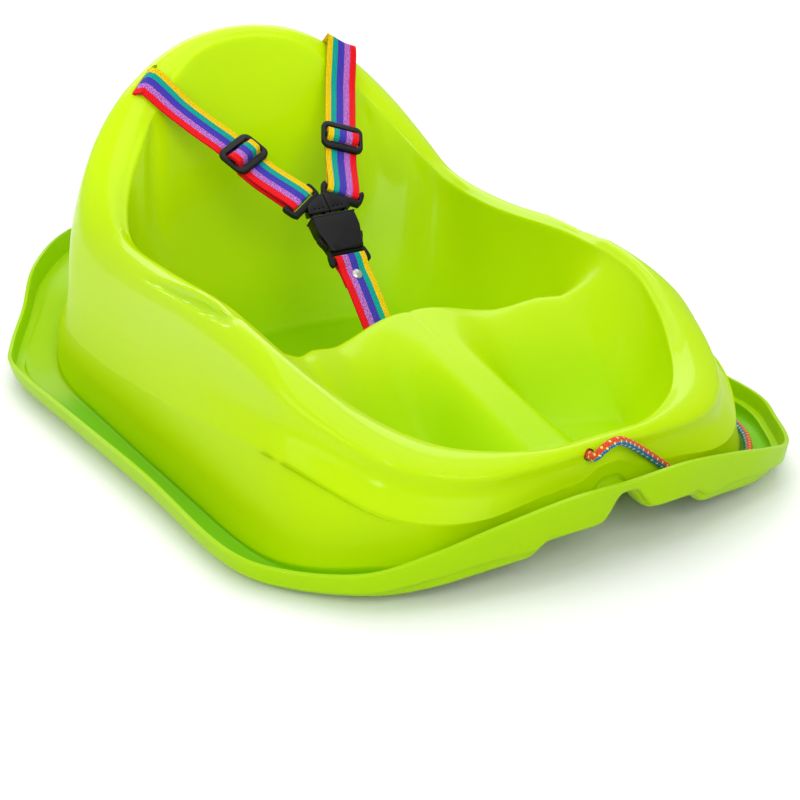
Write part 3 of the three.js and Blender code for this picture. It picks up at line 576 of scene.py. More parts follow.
ropeValues = {
    "diameter": 6 * mm,
    "hankRun": 115 * mm,
    "hankFold": 15 * mm,
    "hankPitch": 6.6 * mm,
    "hankEnd": 12 * mm,
    "hankY": 276.5 * mm,
    "hankZ": 65.4 * mm,
    "turnPoints": 24,
    "sides": 24,
    "spacing": 1.15 * mm,
    "relief": 0.22 * mm,
}

ropeRoute = [
    (-15, -297.8, 70.5), (-15.2, -304.4, 70.4), (-14.6, -308, 72.9), (-11.4, -310.2, 77.2),
    (-5.4, -310.6, 79.8), (1.6, -309.4, 79), (9, -307.4, 75.2), (17.4, -305.8, 69.6), (27, -305, 62.4),
    (36, -305.4, 55.2), (45, -305.8, 47.6), (52, -306.4, 40.8), (61, -307, 35.4), (80, -305.4, 29),
    (103, -300, 22.8), (120, -295.4, 20.4), (134.2, -286.6, 18), (150.6, -271, 16),
    (165.6, -254.6, 14.2), (179, -235.6, 12.5), (191, -210, 9.4), (199, -180, 6.9), (202, -150, 6.5),
    (202, -50, 6.5), (202, 50, 6.5), (201, 105, 6.5), (199, 132, 8.2), (195, 156, 12.6),
    (188, 180, 22.6), (173, 208, 36.2), (152, 232, 47), (124, 249, 54.6), (92, 255.4, 60.6),
    (74, 255.4, 64.2), (64, 255.4, 65.4), (57.8, 255.4, 65.4),
]


def hankPlaces(values):
    # two straight runs and two folds, spiralling in and out again over two layers
    run, fold, pitch = values["hankRun"], values["hankFold"], values["hankPitch"]
    bend = math.pi * fold
    loop = (run + bend) * 2
    turns = 1 + (run * 2 + bend) / loop
    middle = turns / 2
    count = math.ceil(turns * values["turnPoints"])
    places = []
    for i in range(count + 1):
        now = turns * i / count
        radius = fold + pitch * abs(now - middle)
        height = pitch * min(max((now - middle) * 2 + 0.5, 0), 1)
        travel = now % 1 * loop
        if travel < run:
            place = Vector((run / 2 - travel, -radius, height))
        elif travel < run + bend:
            angle = -math.pi / 2 - (travel - run) / fold
            place = Vector((-run / 2 + radius * math.cos(angle), radius * math.sin(angle), height))
        elif travel < run * 2 + bend:
            place = Vector((travel - run * 1.5 - bend, radius, height))
        else:
            angle = math.pi / 2 - (travel - run * 2 - bend) / fold
            place = Vector((run / 2 + radius * math.cos(angle), radius * math.sin(angle), height))
        places.append(place + Vector((0, values["hankY"], values["hankZ"])))
    places.append(places[-1] + Vector((values["hankEnd"], 0, 0)))
    return places


def tubeAlong(path, radius, sides, reliefAt=None):
    # a closed tube on a dense line, its section carried along without twisting
    lengths = lengthsAlong(path)
    last = len(path) - 1
    tangents = [(path[min(i + 1, last)] - path[max(i - 1, 0)]).normalized() for i in range(last + 1)]
    side = tangents[0].orthogonal().normalized()
    sidesAlong = []
    for tangent in tangents:
        side = (side - tangent * side.dot(tangent)).normalized()
        sidesAlong.append(side)

    def placeAt(column, row):
        angle = 2 * math.pi * column / sides
        tangent, across = tangents[row], sidesAlong[row]
        lift = reliefAt(column / sides, lengths[row]) if reliefAt else 0
        other = tangent.cross(across)
        return path[row] + (across * math.cos(angle) + other * math.sin(angle)) * (radius + lift)

    def uvAt(column, row):
        return (column / sides, lengths[row])

    bm = gridThrough(sides, last, placeAt, uvAt, closed=True)
    edges = [edge for edge in bm.edges if edge.is_boundary]
    bmesh.ops.holes_fill(bm, edges=edges, sides=0)
    bmesh.ops.recalc_face_normals(bm, faces=bm.faces)
    return bm, lengths[-1]


def braidLift(around, along):
    strands, rise = ropeLook["strands"], along / ropeLook["pitch"]
    one, two = (around + rise) * strands, (around - rise) * strands
    inOne, inTwo = one % 1, two % 1
    if (math.floor(one) + math.floor(two)) % 2:
        inOne, inTwo = inTwo, inOne
    lift = math.sin(inOne * math.pi) ** 0.6 * (0.55 + 0.45 * math.sin(inTwo * math.pi))
    return (lift - 1) * ropeValues["relief"]


knotValues = {
    "strand": 2.35 * mm,
    "long": 4.4 * mm,
    "wide": 4.0 * mm,
    "start": 0.3,
    "points": 96,
    "sides": 16,
    "stopCentre": (-15 * mm, -294.5 * mm, 68 * mm),
    "stopDeep": 1.1 * mm,
    "stopLean": 90,
    "endGap": 6.3 * mm,
    "endDeep": 2.0 * mm,
    "endLean": 20,
}


def makeKnot(name, node, centre, lean, deep, values):
    # an overhand knot drawn tight, on a three-lobed line
    turned = Matrix.Rotation(math.radians(lean), 3, "X")
    path = []
    for i in range(values["points"]):
        angle = 2 * math.pi * i / values["points"] + values["start"]
        path.append(centre + turned @ Vector((
            (math.sin(angle) + 2 * math.sin(2 * angle)) / 3 * values["long"],
            (math.cos(angle) - 2 * math.cos(2 * angle)) / 3 * values["wide"],
            -math.sin(3 * angle) * deep,
        )))
    bm, _ = tubeAlong(path, values["strand"], values["sides"])
    knot = addPiece(name, bm, braidedRope, 60)
    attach(knot, "root")
    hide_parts(node)
    return knot


tieValues = {
    "x": -8 * mm,
    "corner": 3.9 * mm,
    "cornerSteps": 6,
    "rows": 6,
    "rowStep": 1.7 * mm,
    "uvStep": 2 * mm,
    "sag": 0.9 * mm,
    "wall": 0.9 * mm,
    "edge": 0.3 * mm,
}


def makeTie(values):
    # a soft band that goes round both runs of the hank
    outer = ropeValues["hankFold"] + ropeValues["hankPitch"]
    low, high = ropeValues["hankZ"], ropeValues["hankZ"] + ropeValues["hankPitch"]
    section = []
    corners = ((outer, high, 0), (-outer, high, 90), (-outer, low, 180), (outer, low, 270))
    for cornerY, cornerZ, start in corners:
        for step in range(values["cornerSteps"] + 1):
            angle = math.radians(start + 90 * step / values["cornerSteps"])
            bend = values["corner"] * math.cos(angle), values["corner"] * math.sin(angle)
            section.append((cornerY + bend[0], cornerZ + bend[1]))
    count, rows = len(section), values["rows"]

    def placeAt(column, row):
        y, z = section[column % count]
        x = values["x"] + (row - rows / 2) * values["rowStep"]
        sag = values["sag"] * math.cos(math.pi * y / outer / 2) if z > high else 0
        return Vector((x, ropeValues["hankY"] + y, z - sag))

    def uvAt(column, row):
        return (column * values["uvStep"], row * values["rowStep"])

    bm = gridThrough(count, rows, placeAt, uvAt, closed=True)
    bmesh.ops.recalc_face_normals(bm, faces=bm.faces)
    tie = addPiece("ropeTie", bm, blackPlastic, 60)
    wall = tie.modifiers.new("bandWall", "SOLIDIFY")
    wall.thickness = values["wall"]
    wall.offset = 1
    soften(tie, values["edge"], 2)
    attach(tie, "root")
    return tie


def makeRope(values):
    route = [Vector(place) * mm for place in ropeRoute]
    hank = hankPlaces(values)
    path = through(route + hank[1:], values["spacing"])
    bm, length = tubeAlong(path, values["diameter"] / 2, values["sides"], braidLift)
    rope = addPiece("pullRope", bm, braidedRope, 60)
    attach(rope, "root")
    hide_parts("pull_rope", "rope_hank")
    knot = knotValues
    endCentre = hank[-1] + Vector((knot["endGap"], 0, 0))
    stopKnot = makeKnot("ropeStopKnot", "rope_stop_knot", Vector(knot["stopCentre"]), knot["stopLean"],
                        knot["stopDeep"], knot)
    endKnot = makeKnot("ropeEndKnot", "rope_end_knot", endCentre, knot["endLean"], knot["endDeep"], knot)
    tie = makeTie(tieValues)
    [tuple(place) for place in path[::3] + path[-1:]]
    print(f"rope {length:.3f} m")


makeRope(ropeValues)
print("rope made")


shellValues = {
    "halfWidth": 0.220,
    "length": 0.651,
    "height": 0.257,
    "sheet": 3 * mm,
    "stationSteps": [9, 7, 4, 3, 3, 3, 3, 3, 3, 3, 3, 4, 3, 3],
    "floorLoops": 11,
    "floorTop": 110 * mm,
    "floorNear": 12 * mm,
    "floorEdge": (0.84, 1),
    "firmness": 0.75,
    "crease": 1.2 * mm,
    "rim": 1.1 * mm,
    "rimAngle": 62,
    "kept": 0.58,
    "ropeHole": 8 * mm,
    "cutDepth": 12 * mm,
}

# stations from the front centre round one side to the rear: shares of half width, length and height
lipShares = [
    (0, -0.495, 0.226), (0.207, -0.495, 0.229), (0.426, -0.483, 0.194), (0.613, -0.467, 0.15),
    (0.771, -0.438, 0.107), (0.921, -0.369, 0.082), (0.994, -0.302, 0.092), (0.989, -0.137, 0.104),
    (0.996, 0.066, 0.1), (0.996, 0.223, 0.097), (0.936, 0.288, 0.1), (0.82, 0.344, 0.159),
    (0.684, 0.409, 0.248), (0.425, 0.478, 0.29), (0, 0.493, 0.294),
]
footShares = [
    (0, -0.466, 0.148), (0.245, -0.465, 0.14), (0.418, -0.455, 0.101), (0.564, -0.439, 0.082),
    (0.672, -0.406, 0.062), (0.811, -0.352, 0.039), (0.868, -0.275, 0.023), (0.864, -0.113, 0.023),
    (0.85, 0.071, 0.023), (0.836, 0.207, 0.035), (0.791, 0.268, 0.093), (0.691, 0.317, 0.171),
    (0.536, 0.351, 0.218), (0.282, 0.369, 0.241), (0, 0.376, 0.249),
]
shoulderShares = [
    (0, -0.464, 0.218), (0.219, -0.463, 0.206), (0.413, -0.458, 0.183), (0.549, -0.435, 0.179),
    (0.647, -0.4, 0.195), (0.739, -0.342, 0.241), (0.794, -0.265, 0.261), (0.821, -0.113, 0.23),
    (0.821, 0.071, 0.187), (0.811, 0.204, 0.195), (0.76, 0.25, 0.226), (0.636, 0.296, 0.28),
    (0.482, 0.323, 0.327), (0.255, 0.336, 0.358), (0, 0.339, 0.366),
]
flankShares = [
    (0, -0.462, 0.261), (0.209, -0.46, 0.249), (0.4, -0.449, 0.233), (0.523, -0.425, 0.233),
    (0.623, -0.385, 0.257), (0.714, -0.325, 0.3), (0.764, -0.257, 0.327), (0.782, -0.113, 0.342),
    (0.782, 0.048, 0.327), (0.782, 0.182, 0.342), (0.75, 0.234, 0.42), (0.659, 0.273, 0.521),
    (0.514, 0.299, 0.599), (0.255, 0.313, 0.669), (0, 0.317, 0.685),
]
ridgeShares = [
    (0, -0.462, 0.288), (0.2, -0.459, 0.284), (0.386, -0.446, 0.284), (0.514, -0.42, 0.296),
    (0.614, -0.379, 0.319), (0.695, -0.316, 0.374), (0.741, -0.248, 0.428), (0.745, -0.113, 0.463),
    (0.736, 0.025, 0.455), (0.732, 0.151, 0.475), (0.709, 0.207, 0.572), (0.609, 0.243, 0.72),
    (0.459, 0.268, 0.852), (0.245, 0.285, 0.946), (0, 0.293, 0.969),
]
crestShares = [
    (0, -0.455, 0.3), (0.186, -0.451, 0.3), (0.364, -0.425, 0.304), (0.482, -0.391, 0.319),
    (0.573, -0.346, 0.354), (0.65, -0.288, 0.416), (0.695, -0.217, 0.475), (0.691, -0.113, 0.506),
    (0.682, 0.025, 0.494), (0.686, 0.136, 0.518), (0.645, 0.188, 0.607), (0.545, 0.219, 0.732),
    (0.409, 0.243, 0.868), (0.223, 0.262, 0.969), (0, 0.27, 1),
]
innerShares = [
    (0, -0.445, 0.296), (0.182, -0.44, 0.292), (0.345, -0.411, 0.296), (0.45, -0.379, 0.311),
    (0.536, -0.337, 0.346), (0.609, -0.285, 0.401), (0.655, -0.217, 0.459), (0.65, -0.113, 0.486),
    (0.641, 0.025, 0.475), (0.645, 0.124, 0.494), (0.591, 0.176, 0.584), (0.491, 0.207, 0.708),
    (0.359, 0.23, 0.833), (0.195, 0.248, 0.938), (0, 0.256, 0.965),
]
panShares = [
    (0, -0.396), (0.155, -0.392), (0.282, -0.371), (0.364, -0.343), (0.427, -0.306), (0.473, -0.251),
    (0.491, -0.19), (0.482, -0.107), (0.473, -0.005), (0.445, 0.071), (0.391, 0.114), (0.309, 0.139),
    (0.218, 0.151), (0.109, 0.159), (0, 0.162),
]
ledgeShares = [
    0.117, 0.117, 0.117, 0.093, 0.062, 0.043, 0.051, 0.058, 0.058, 0.055, 0.058, 0.117, 0.187, 0.233, 0.24,
]
grooveShares = [0.093, 0.086, 0.066, 0.043, 0.023, 0.006, 0, 0, 0, 0.006, 0.043, 0.109, 0.175, 0.218, 0.226]

ringShares = {
    "lip": (0.3, 0.86),
    # from the lip in to the wall's foot, and from the ledge down to the groove
    "tray": [(0.07, 0), (0.1, 0), (0.235, 0), (0.262, 0.14), (0.37, 1), (0.8, 1)],
    "heel": (0.98, 0.1),
    "lowWall": (0.05, 0.45, 0.94),
    "highWall": (0.09, 0.5),
    "crest": 0.72,
    # from the rail in to the seat's pan, and down to it
    "seat": [(0.03, 0.07), (0.12, 0.24), (0.42, 0.62), (0.84, 0.93)],
}

floorValues = {
    # in millimetres: the seat, the step up to its crest, the crotch hump and a leg well on each side
    "halfSpan": 105,
    "crestY": -75,
    "crestSweep": 33,
    "crestMiddle": 92,
    "crestLow": 84,
    "crestEnd": 93,
    "lowShares": (0.1, 0.62),
    "seat": 24,
    "stepRun": 46,
    "humpFall": 42,
    "humpRun": 165,
    "humpEdge": (11, 48),
    "well": 29,
    "wellRun": 100,
}

tunnelValues = {
    "height": 16 * mm,
    "edge": (6 * mm, 23 * mm),
    "shoulderShare": 0.4,
    "frontRise": 7 * mm,
    "frontEdge": (59 * mm, 70 * mm),
}


def floorHeight(x, y, values=floorValues):
    x, y = x / mm, y / mm
    side = min(abs(x) / values["halfSpan"], 1)
    crestY = values["crestY"] - values["crestSweep"] * side * side
    crestTop = lerp(values["crestMiddle"], values["crestLow"], smoothStep(*values["lowShares"], side))
    crestTop = lerp(crestTop, values["crestEnd"], smoothStep(values["lowShares"][1], 1, side))
    behind = y - crestY
    if behind > 0:
        return lerp(crestTop, values["seat"], smoothStep(0, values["stepRun"], behind)) * mm
    hump = values["crestMiddle"] - values["humpFall"] * min(-behind / values["humpRun"], 1)
    leg = lerp(crestTop, values["well"], smoothStep(0, values["wellRun"], -behind))
    return lerp(min(hump, crestTop), leg, smoothStep(*values["humpEdge"], abs(x))) * mm


def tunnelHeight(x):
    return tunnelValues["height"] * (1 - smoothStep(*tunnelValues["edge"], abs(x)))


def frontRise(point):
    # the tray's front stands up between the runners, with a tunnel in its middle
    if point.y > 0:
        return 0
    runner = smoothStep(*tunnelValues["frontEdge"], abs(point.x))
    return tunnelHeight(point.x) + tunnelValues["frontRise"] * (1 - runner)


def closedPlaces(places):
    return places + [Vector((-place.x, place.y, place.z)) for place in reversed(places[1:-1])]


def placeOnRing(places, at):
    # at counts stations round the closed ring
    ring = closedPlaces(places)
    count = len(ring)
    i = math.floor(at)
    four = [ring[(i + k) % count] for k in (-1, 0, 1, 2)]
    return catmull(*four, at - i)


def sampledRing(places, steps):
    # steps tells how many points go between each two stations, finest where the tray steps up
    half = [i + k / count for i, count in enumerate(steps) for k in range(count)]
    last = len(steps)
    return [placeOnRing(places, at) for at in half + [last] + [2 * last - at for at in reversed(half[1:])]]


def shellPlaces(shares, values):
    size = Vector((values["halfWidth"], values["length"], values["height"]))
    return [Vector((*share, 0)[:3]) * size for share in shares]


def outwards(point, values):
    # level direction away from the shell's middle, full along the sides and none at the back
    level = Vector((point.x / values["halfWidth"], point.y / values["length"] * 2, 0))
    share = 1 - smoothStep(0.1, 0.3, point.y / values["length"])
    return level.normalized() * share if level.length else level


def panMiddle(values):
    return (panShares[0][1] + panShares[-1][1]) / 2 * values["length"]


def shellRings(values):
    lipPlaces, footPlaces = shellPlaces(lipShares, values), shellPlaces(footShares, values)

    def ringOf(shares):
        return sampledRing(shellPlaces(shares, values), values["stationSteps"])

    def trayRing(share, heights):
        places = [Vector((*lip.lerp(foot, share).to_2d(), height))
                  for lip, foot, height in zip(lipPlaces, footPlaces, heights)]
        points = sampledRing(places, values["stationSteps"])
        for point in points:
            point.z = max(point.z, values["sheet"]) + frontRise(point)
        return points

    def between(start, end, *shares):
        return [[a.lerp(b, share) for a, b in zip(start, end)] for share in shares]

    ledge = [share * values["height"] for share in ledgeShares]
    groove = [share * values["height"] + values["sheet"] for share in grooveShares]
    tray = []
    for share, down in ringShares["tray"]:
        tray.append(trayRing(share, [lerp(a, b, down) for a, b in zip(ledge, groove)]))
    share, up = ringShares["heel"]
    tray.append(trayRing(share, [lerp(a, b.z, up) for a, b in zip(groove, footPlaces)]))
    lip, foot, shoulder = ringOf(lipShares), ringOf(footShares), ringOf(shoulderShares)
    flank, ridge, crest = ringOf(flankShares), ringOf(ridgeShares), ringOf(crestShares)
    inner, pan = ringOf(innerShares), ringOf(panShares)
    shoulder = [point + outwards(point, values) * values["crease"] for point in shoulder]
    for ring, share in ((foot, 1), (shoulder, tunnelValues["shoulderShare"])):
        for point in ring:
            if point.y < 0:
                point.z += tunnelHeight(point.x) * share
    for point in pan:
        point.z = floorHeight(point.x, point.y)

    rings = [lip, *between(lip, tray[0], *ringShares["lip"]), *tray]
    rings += [foot, *between(foot, shoulder, *ringShares["lowWall"])]
    rings += [shoulder, *between(shoulder, flank, *ringShares["highWall"])]
    rings += [flank, [catmull(*four, 0.5) for four in zip(shoulder, flank, ridge, crest)]]
    rings += [ridge, crest, *between(crest, inner, ringShares["crest"]), inner]
    for share, drop in ringShares["seat"]:
        rings.append([Vector((*a.lerp(b, share).to_2d(), lerp(a.z, b.z, drop))) for a, b in zip(inner, pan)])
    rings.append(pan)
    middleY, loops = panMiddle(values), values["floorLoops"]
    for loop in range(1, loops + 1):
        scale = 1 - loop / loops
        flat = [(point.x * scale, middleY + (point.y - middleY) * scale) for point in pan]
        rings.append([Vector((x, y, floorHeight(x, y))) for x, y in flat])
    return rings


def firmRings(rings, firmness, rounds=2):
    # the cage is drawn outwards, so that the smooth skin passes near the places that were asked for
    cage = [[point.copy() for point in ring] for ring in rings]
    count = len(rings[0])
    for _ in range(rounds):
        moved = [[point.copy() for point in ring] for ring in cage]
        for row in range(len(rings) - 1):
            here = cage[row]
            low, high = cage[max(row - 1, 0)], cage[row + 1]
            for i in range(count):
                left, right = (i - 1) % count, (i + 1) % count
                if row:
                    sides = here[left] + here[right] + low[i] + high[i]
                    diagonals = low[left] + low[right] + high[left] + high[right]
                    smooth = (here[i] * 16 + sides * 4 + diagonals) / 36
                else:
                    smooth = (here[left] + here[i] * 4 + here[right]) / 6
                moved[row][i] = here[i] + (rings[row][i] - smooth) * firmness
        cage = moved
    return cage


def frameFrom(origin, x, y):
    across = x.normalized()
    face = across.cross(y).normalized()
    along = face.cross(across)
    return Matrix.Translation(origin) @ Matrix((across, along, face)).transposed().to_4x4()


slotValues = {
    "station": 12.15,  # the left slot's place round the ring, in stations
    "nearby": 0.02,
    "downShare": 0.26,  # from the crest down to the ridge
    "crotchY": -48 * mm,
    "crotchNearby": 3 * mm,
    "cut": (32, 5, 18),
    "corner": 2.1,
}


def shoulderPlace(values=slotValues):
    # where the left shoulder webbing goes through the back, with the skin's directions there
    tables = (crestShares, ridgeShares, innerShares)
    crest, ridge, inner = (shellPlaces(shares, shellValues) for shares in tables)
    at, nearby = values["station"], values["nearby"]
    crestPoint = placeOnRing(crest, at)
    origin = crestPoint.lerp(placeOnRing(ridge, at), values["downShare"])
    along = (placeOnRing(crest, at - nearby) - placeOnRing(crest, at + nearby)).normalized()
    face = (crestPoint - origin).cross(along).normalized()
    innerFace = (placeOnRing(inner, at) - crestPoint).cross(along).normalized()
    crestFace = (face + innerFace).normalized()
    return {"frame": frameFrom(origin, along, face.cross(along)), "crest": crestPoint, "crestFace": crestFace}


def crotchPlace(values=slotValues):
    y, nearby = values["crotchY"], values["crotchNearby"]
    rise = floorHeight(0, y + nearby) - floorHeight(0, y - nearby)
    return frameFrom(Vector((0, y, floorHeight(0, y))), Vector((1, 0, 0)), Vector((0, nearby * 2, rise)))


def slotCutter(place, values=slotValues):
    bm = block(values["cut"])
    uprights = [edge for edge in bm.edges if abs((edge.verts[0].co - edge.verts[1].co).z) > mm]
    bmesh.ops.bevel(bm, geom=uprights, offset=values["corner"] * mm, segments=5, affect="EDGES", profile=0.5,
                    material=-1)
    bmesh.ops.transform(bm, matrix=place, verts=bm.verts)
    return addPiece("slot", bm, limePlastic, 0)


def mirroredPlace(place):
    flip = Matrix.Scale(-1, 4, (1, 0, 0))
    return flip @ place @ flip


hollowValues = {
    # the hand hollow under each rail, in millimetres: its line from rear to front, and its reach at both ends
    "line": ((159, 36, 118), (156, -94, 123)),
    "depth": 6.4,
    "above": (4, 20),
    "below": (2, 4),
    "far": 30,
    "rear": (-0.1, 0.75),
    "front": (0.88, 1.12),
    "inside": (-14, -6),
    "lean": 0.8,
    "fineReach": 18,
    "fineMargin": 0.15,
}

foldValues = {
    # the soft fold down each side of the back, in millimetres
    "line": ((90, 144, 203), (94, 138, 176), (99, 130, 146), (105, 120, 118)),
    "depth": 3.0,
    "reach": 13,
    "bottom": (108, 132),
    "top": (190, 212),
    "lowest": 70,
}


def ownSide(point):
    # a place in millimetres on the left side, where the two sides are alike
    return Vector((abs(point.x), point.y, point.z)) / mm


def nearLine(place, start, end):
    # share along a line and the offset from it
    run = end - start
    share = (place - start).dot(run) / run.length_squared
    return share, place - (start + run * min(max(share, 0), 1))


def refineNear(mesh, values):
    # smaller faces where the hand hollows go
    start, end = (Vector(point) for point in values["line"])
    bm = bmesh.new()
    bm.from_mesh(mesh)
    chosen = {}
    for face in bm.faces:
        share, offset = nearLine(ownSide(face.calc_center_median()), start, end)
        if -values["fineMargin"] < share < 1 + values["fineMargin"] and offset.length < values["fineReach"]:
            chosen.update(dict.fromkeys(face.edges))
    bmesh.ops.subdivide_edges(bm, edges=list(chosen), cuts=2, use_grid_fill=True)
    bm.to_mesh(mesh)
    bm.free()
    mesh.shade_smooth()


def hollowDepth(place, values):
    start, end = (Vector(point) for point in values["line"])
    share, offset = nearLine(place, start, end)
    if offset.length >= values["far"]:
        return 0
    up = offset.z - offset.x * values["lean"]
    reach = lerp(*values["above" if up > 0 else "below"], min(max(share, 0), 1))
    ends = smoothStep(*values["rear"], share) * (1 - smoothStep(*values["front"], share))
    ends *= smoothStep(*values["inside"], offset.x)
    return values["depth"] * ends * (1 - smoothStep(reach * 0.2, reach, abs(up)))


def foldDepth(place, values):
    points = [Vector(point) for point in values["line"]]
    far = min(nearLine(place, a, b)[1].length for a, b in zip(points, points[1:]))
    if far >= values["reach"]:
        return 0
    ends = smoothStep(*values["bottom"], place.z) * (1 - smoothStep(*values["top"], place.z))
    return values["depth"] * ends * (1 - far / values["reach"]) ** 1.5


def pressSkin(mesh):
    # hollows and folds are pressed into the skin after it is smooth
    moves = []
    for vert in mesh.vertices:
        place = ownSide(vert.co)
        if place.z >= foldValues["lowest"]:
            depth = hollowDepth(place, hollowValues) + foldDepth(place, foldValues)
            moves.append((vert, vert.normal * (-depth * mm)))
    for vert, move in moves:
        vert.co += move


def insidePan(x, y, pan):
    # share of the way out from the pan's middle to its edge, along the same bearing
    bearing = math.atan2(x, -y)
    for (lowAngle, lowFar), (highAngle, highFar) in zip(pan, pan[1:]):
        if lowAngle <= bearing <= highAngle:
            far = lerp(lowFar, highFar, (bearing - lowAngle) / max(highAngle - lowAngle, 1e-6))
            return math.hypot(x, y) / far
    return 2


def setFloor(mesh, values):
    # the seat's floor takes its exact height
    middleY = panMiddle(values)
    edge = [Vector((x * values["halfWidth"], y * values["length"] - middleY)) for x, y in panShares]
    pan = [(math.atan2(point.x, -point.y), point.length) for point in edge]
    for vert in mesh.vertices:
        if vert.co.z > values["floorTop"]:
            continue
        share = insidePan(abs(vert.co.x), vert.co.y - middleY, pan)
        exact = floorHeight(vert.co.x, vert.co.y)
        if share < 1 and abs(exact - vert.co.z) < values["floorNear"]:
            vert.co.z = lerp(exact, vert.co.z, smoothStep(*values["floorEdge"], share))


def makeShell(values):
    rings = firmRings(shellRings(values), values["firmness"])
    count = len(rings[0])
    # the shell's own map holds its place round the ring and from the lip to the seat, as shares
    bm = gridThrough(count, len(rings) - 1, lambda column, row: rings[row][column % count],
                     lambda column, row: (column / count, row / (len(rings) - 1)), closed=True)
    bmesh.ops.recalc_face_normals(bm, faces=bm.faces)
    middle = max(bm.faces, key=lambda face: face.calc_center_median().z)
    if middle.normal.z < 0:
        bmesh.ops.reverse_faces(bm, faces=bm.faces)
    shell = addPiece("sledShell", bm, limePlastic, 0)
    rounding = shell.modifiers.new("rounding", "SUBSURF")
    rounding.levels = rounding.render_levels = 2
    settle(shell, 0)
    refineNear(shell.data, hollowValues)
    pressSkin(shell.data)
    setFloor(shell.data, values)
    thinning = shell.modifiers.new("thinning", "DECIMATE")
    thinning.ratio = values["kept"]
    settle(shell, 0)
    sheet = shell.modifiers.new("sheet", "SOLIDIFY")
    sheet.thickness = values["sheet"]
    sheet.offset = -1
    sheet.use_quality_normals = True
    settle(shell)
    rim = shell.modifiers.new("rim", "BEVEL")
    rim.width = values["rim"]
    rim.segments = 3
    rim.limit_method = "ANGLE"
    rim.angle_limit = math.radians(values["rimAngle"])
    settle(shell)
    place = shoulderPlace()["frame"]
    cutters = [slotCutter(place), slotCutter(mirroredPlace(place)), slotCutter(crotchPlace())]
    hole = bmesh.new()
    radius = values["ropeHole"] / 2
    bmesh.ops.create_cone(hole, cap_ends=True, segments=32, radius1=radius, radius2=radius,
                          depth=values["cutDepth"])
    bmesh.ops.rotate(hole, verts=hole.verts, matrix=Matrix.Rotation(math.radians(90), 3, "X"))
    mouth = Vector(ropeRoute[0]) * mm
    bmesh.ops.translate(hole, verts=hole.verts, vec=(mouth.x, ridgeShares[0][1] * values["length"], mouth.z))
    cutWith(shell, [*cutters, addPiece("ropeHole", hole, limePlastic, 0)])
    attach(shell, "root")
    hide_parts("sled_shell")
    print("shell triangles", sum(len(face.vertices) - 2 for face in shell.data.polygons))


makeShell(shellValues)
print("shell made")


webValues = {"width": 25.4 * mm, "thick": 1.4 * mm, "edge": 0.42 * mm, "spacing": 1.5 * mm, "columns": 8}

buckleValues = {
    # the buckle's place in metres, then places in its own frame in millimetres; leans are in degrees
    "middle": (0, 25.5 * mm, 125 * mm),
    "lean": 43.8,
    "latchBar": (19, 33, 0),
    "latchLean": 30,
    "adjuster": (43.5, 83, -6),
    "socketBar": -23.9,
    "rivet": -37.5,
    "rivetClear": 4.3,
    "crotchEnd": -46,
    "crotchApart": 0.85,
}
buckleLean = Matrix.Rotation(math.radians(buckleValues["lean"]), 4, "X")
buckleFrame = Matrix.Translation(buckleValues["middle"]) @ buckleLean


def latchBarFrame(values=buckleValues):
    lean = math.radians(values["latchLean"])
    along = Vector((math.sin(lean), math.cos(lean), 0))
    return frameFrom(Vector(values["latchBar"]) * mm, Vector((along.y, -along.x, 0)), along)


def adjusterFrame(values=buckleValues):
    lower, middle = Vector(values["latchBar"]) * mm, Vector(values["adjuster"]) * mm
    upper = buckleFrame.inverted() @ shoulderPlace()["crest"]
    along = (middle - lower).normalized() + (upper - middle).normalized()
    return buckleFrame @ frameFrom(middle, Vector((along.y, -along.x, 0)), along)


def turn(cornerAlong, cornerHeight, radius, start, end, steps=5):
    # webbing round one corner, as places along and over a fitting, in millimetres
    angles = [math.radians(lerp(start, end, i / steps)) for i in range(steps + 1)]
    return [(cornerAlong + radius * math.cos(a), cornerHeight + radius * math.sin(a)) for a in angles]


def rowsIn(place, pairs, shift=0.0):
    width = place.to_3x3() @ Vector((1, 0, 0))
    return [(place @ Vector((shift * mm, along * mm, height * mm)), width) for along, height in pairs]


def makeWeb(name, rows, side, values, flip=False):
    points = [point for point, _ in rows]
    line = through(points, values["spacing"])
    lengths = lengthsAlong(line)
    widths = []
    for (start, wide), (end, nextWide) in zip(rows, rows[1:]):
        count = max(1, round((end - start).length / values["spacing"]))
        widths += [wide.lerp(nextWide, k / count) for k in range(count)]
    widths.append(rows[-1][1])

    def placeAt(column, row):
        tangent = (line[min(row + 1, len(line) - 1)] - line[max(row - 1, 0)]).normalized()
        wide = (widths[row] - tangent * widths[row].dot(tangent)).normalized()
        return line[row] + wide * (values["width"] * (column / values["columns"] - 0.5))

    def uvAt(column, row):
        share = column / values["columns"]
        return ((1 - share if flip else share) * values["width"], lengths[row])

    web = sided(name, side, gridThrough(values["columns"], len(line) - 1, placeAt, uvAt), rainbowWebbing, 60)
    wall = web.modifiers.new("thickness", "SOLIDIFY")
    wall.thickness = values["thick"]
    wall.offset = 0
    settle(web, 50)
    soften(web, values["edge"], 2, 60)
    return web


slideAxis = Vector((0.44817, 0.73932, 0.50254))  # the left adjuster's way up its webbing
slideReach = (-9, 51)  # how far down and up the webbing lies straight for it, in millimetres
halfFrame, backLayer = 13.0, -2.9
tailLayer, foldLayer = backLayer - 1.7, backLayer - 3.4

slotSeats = {
    # in millimetres and degrees: the webbing's slide towards the middle, its outer edge's tilt, and its lift
    "left": {"slide": 5.5, "tilt": 5, "lift": 6.9},
    "right": {"slide": -3.5, "tilt": 0, "lift": 0.2},
}

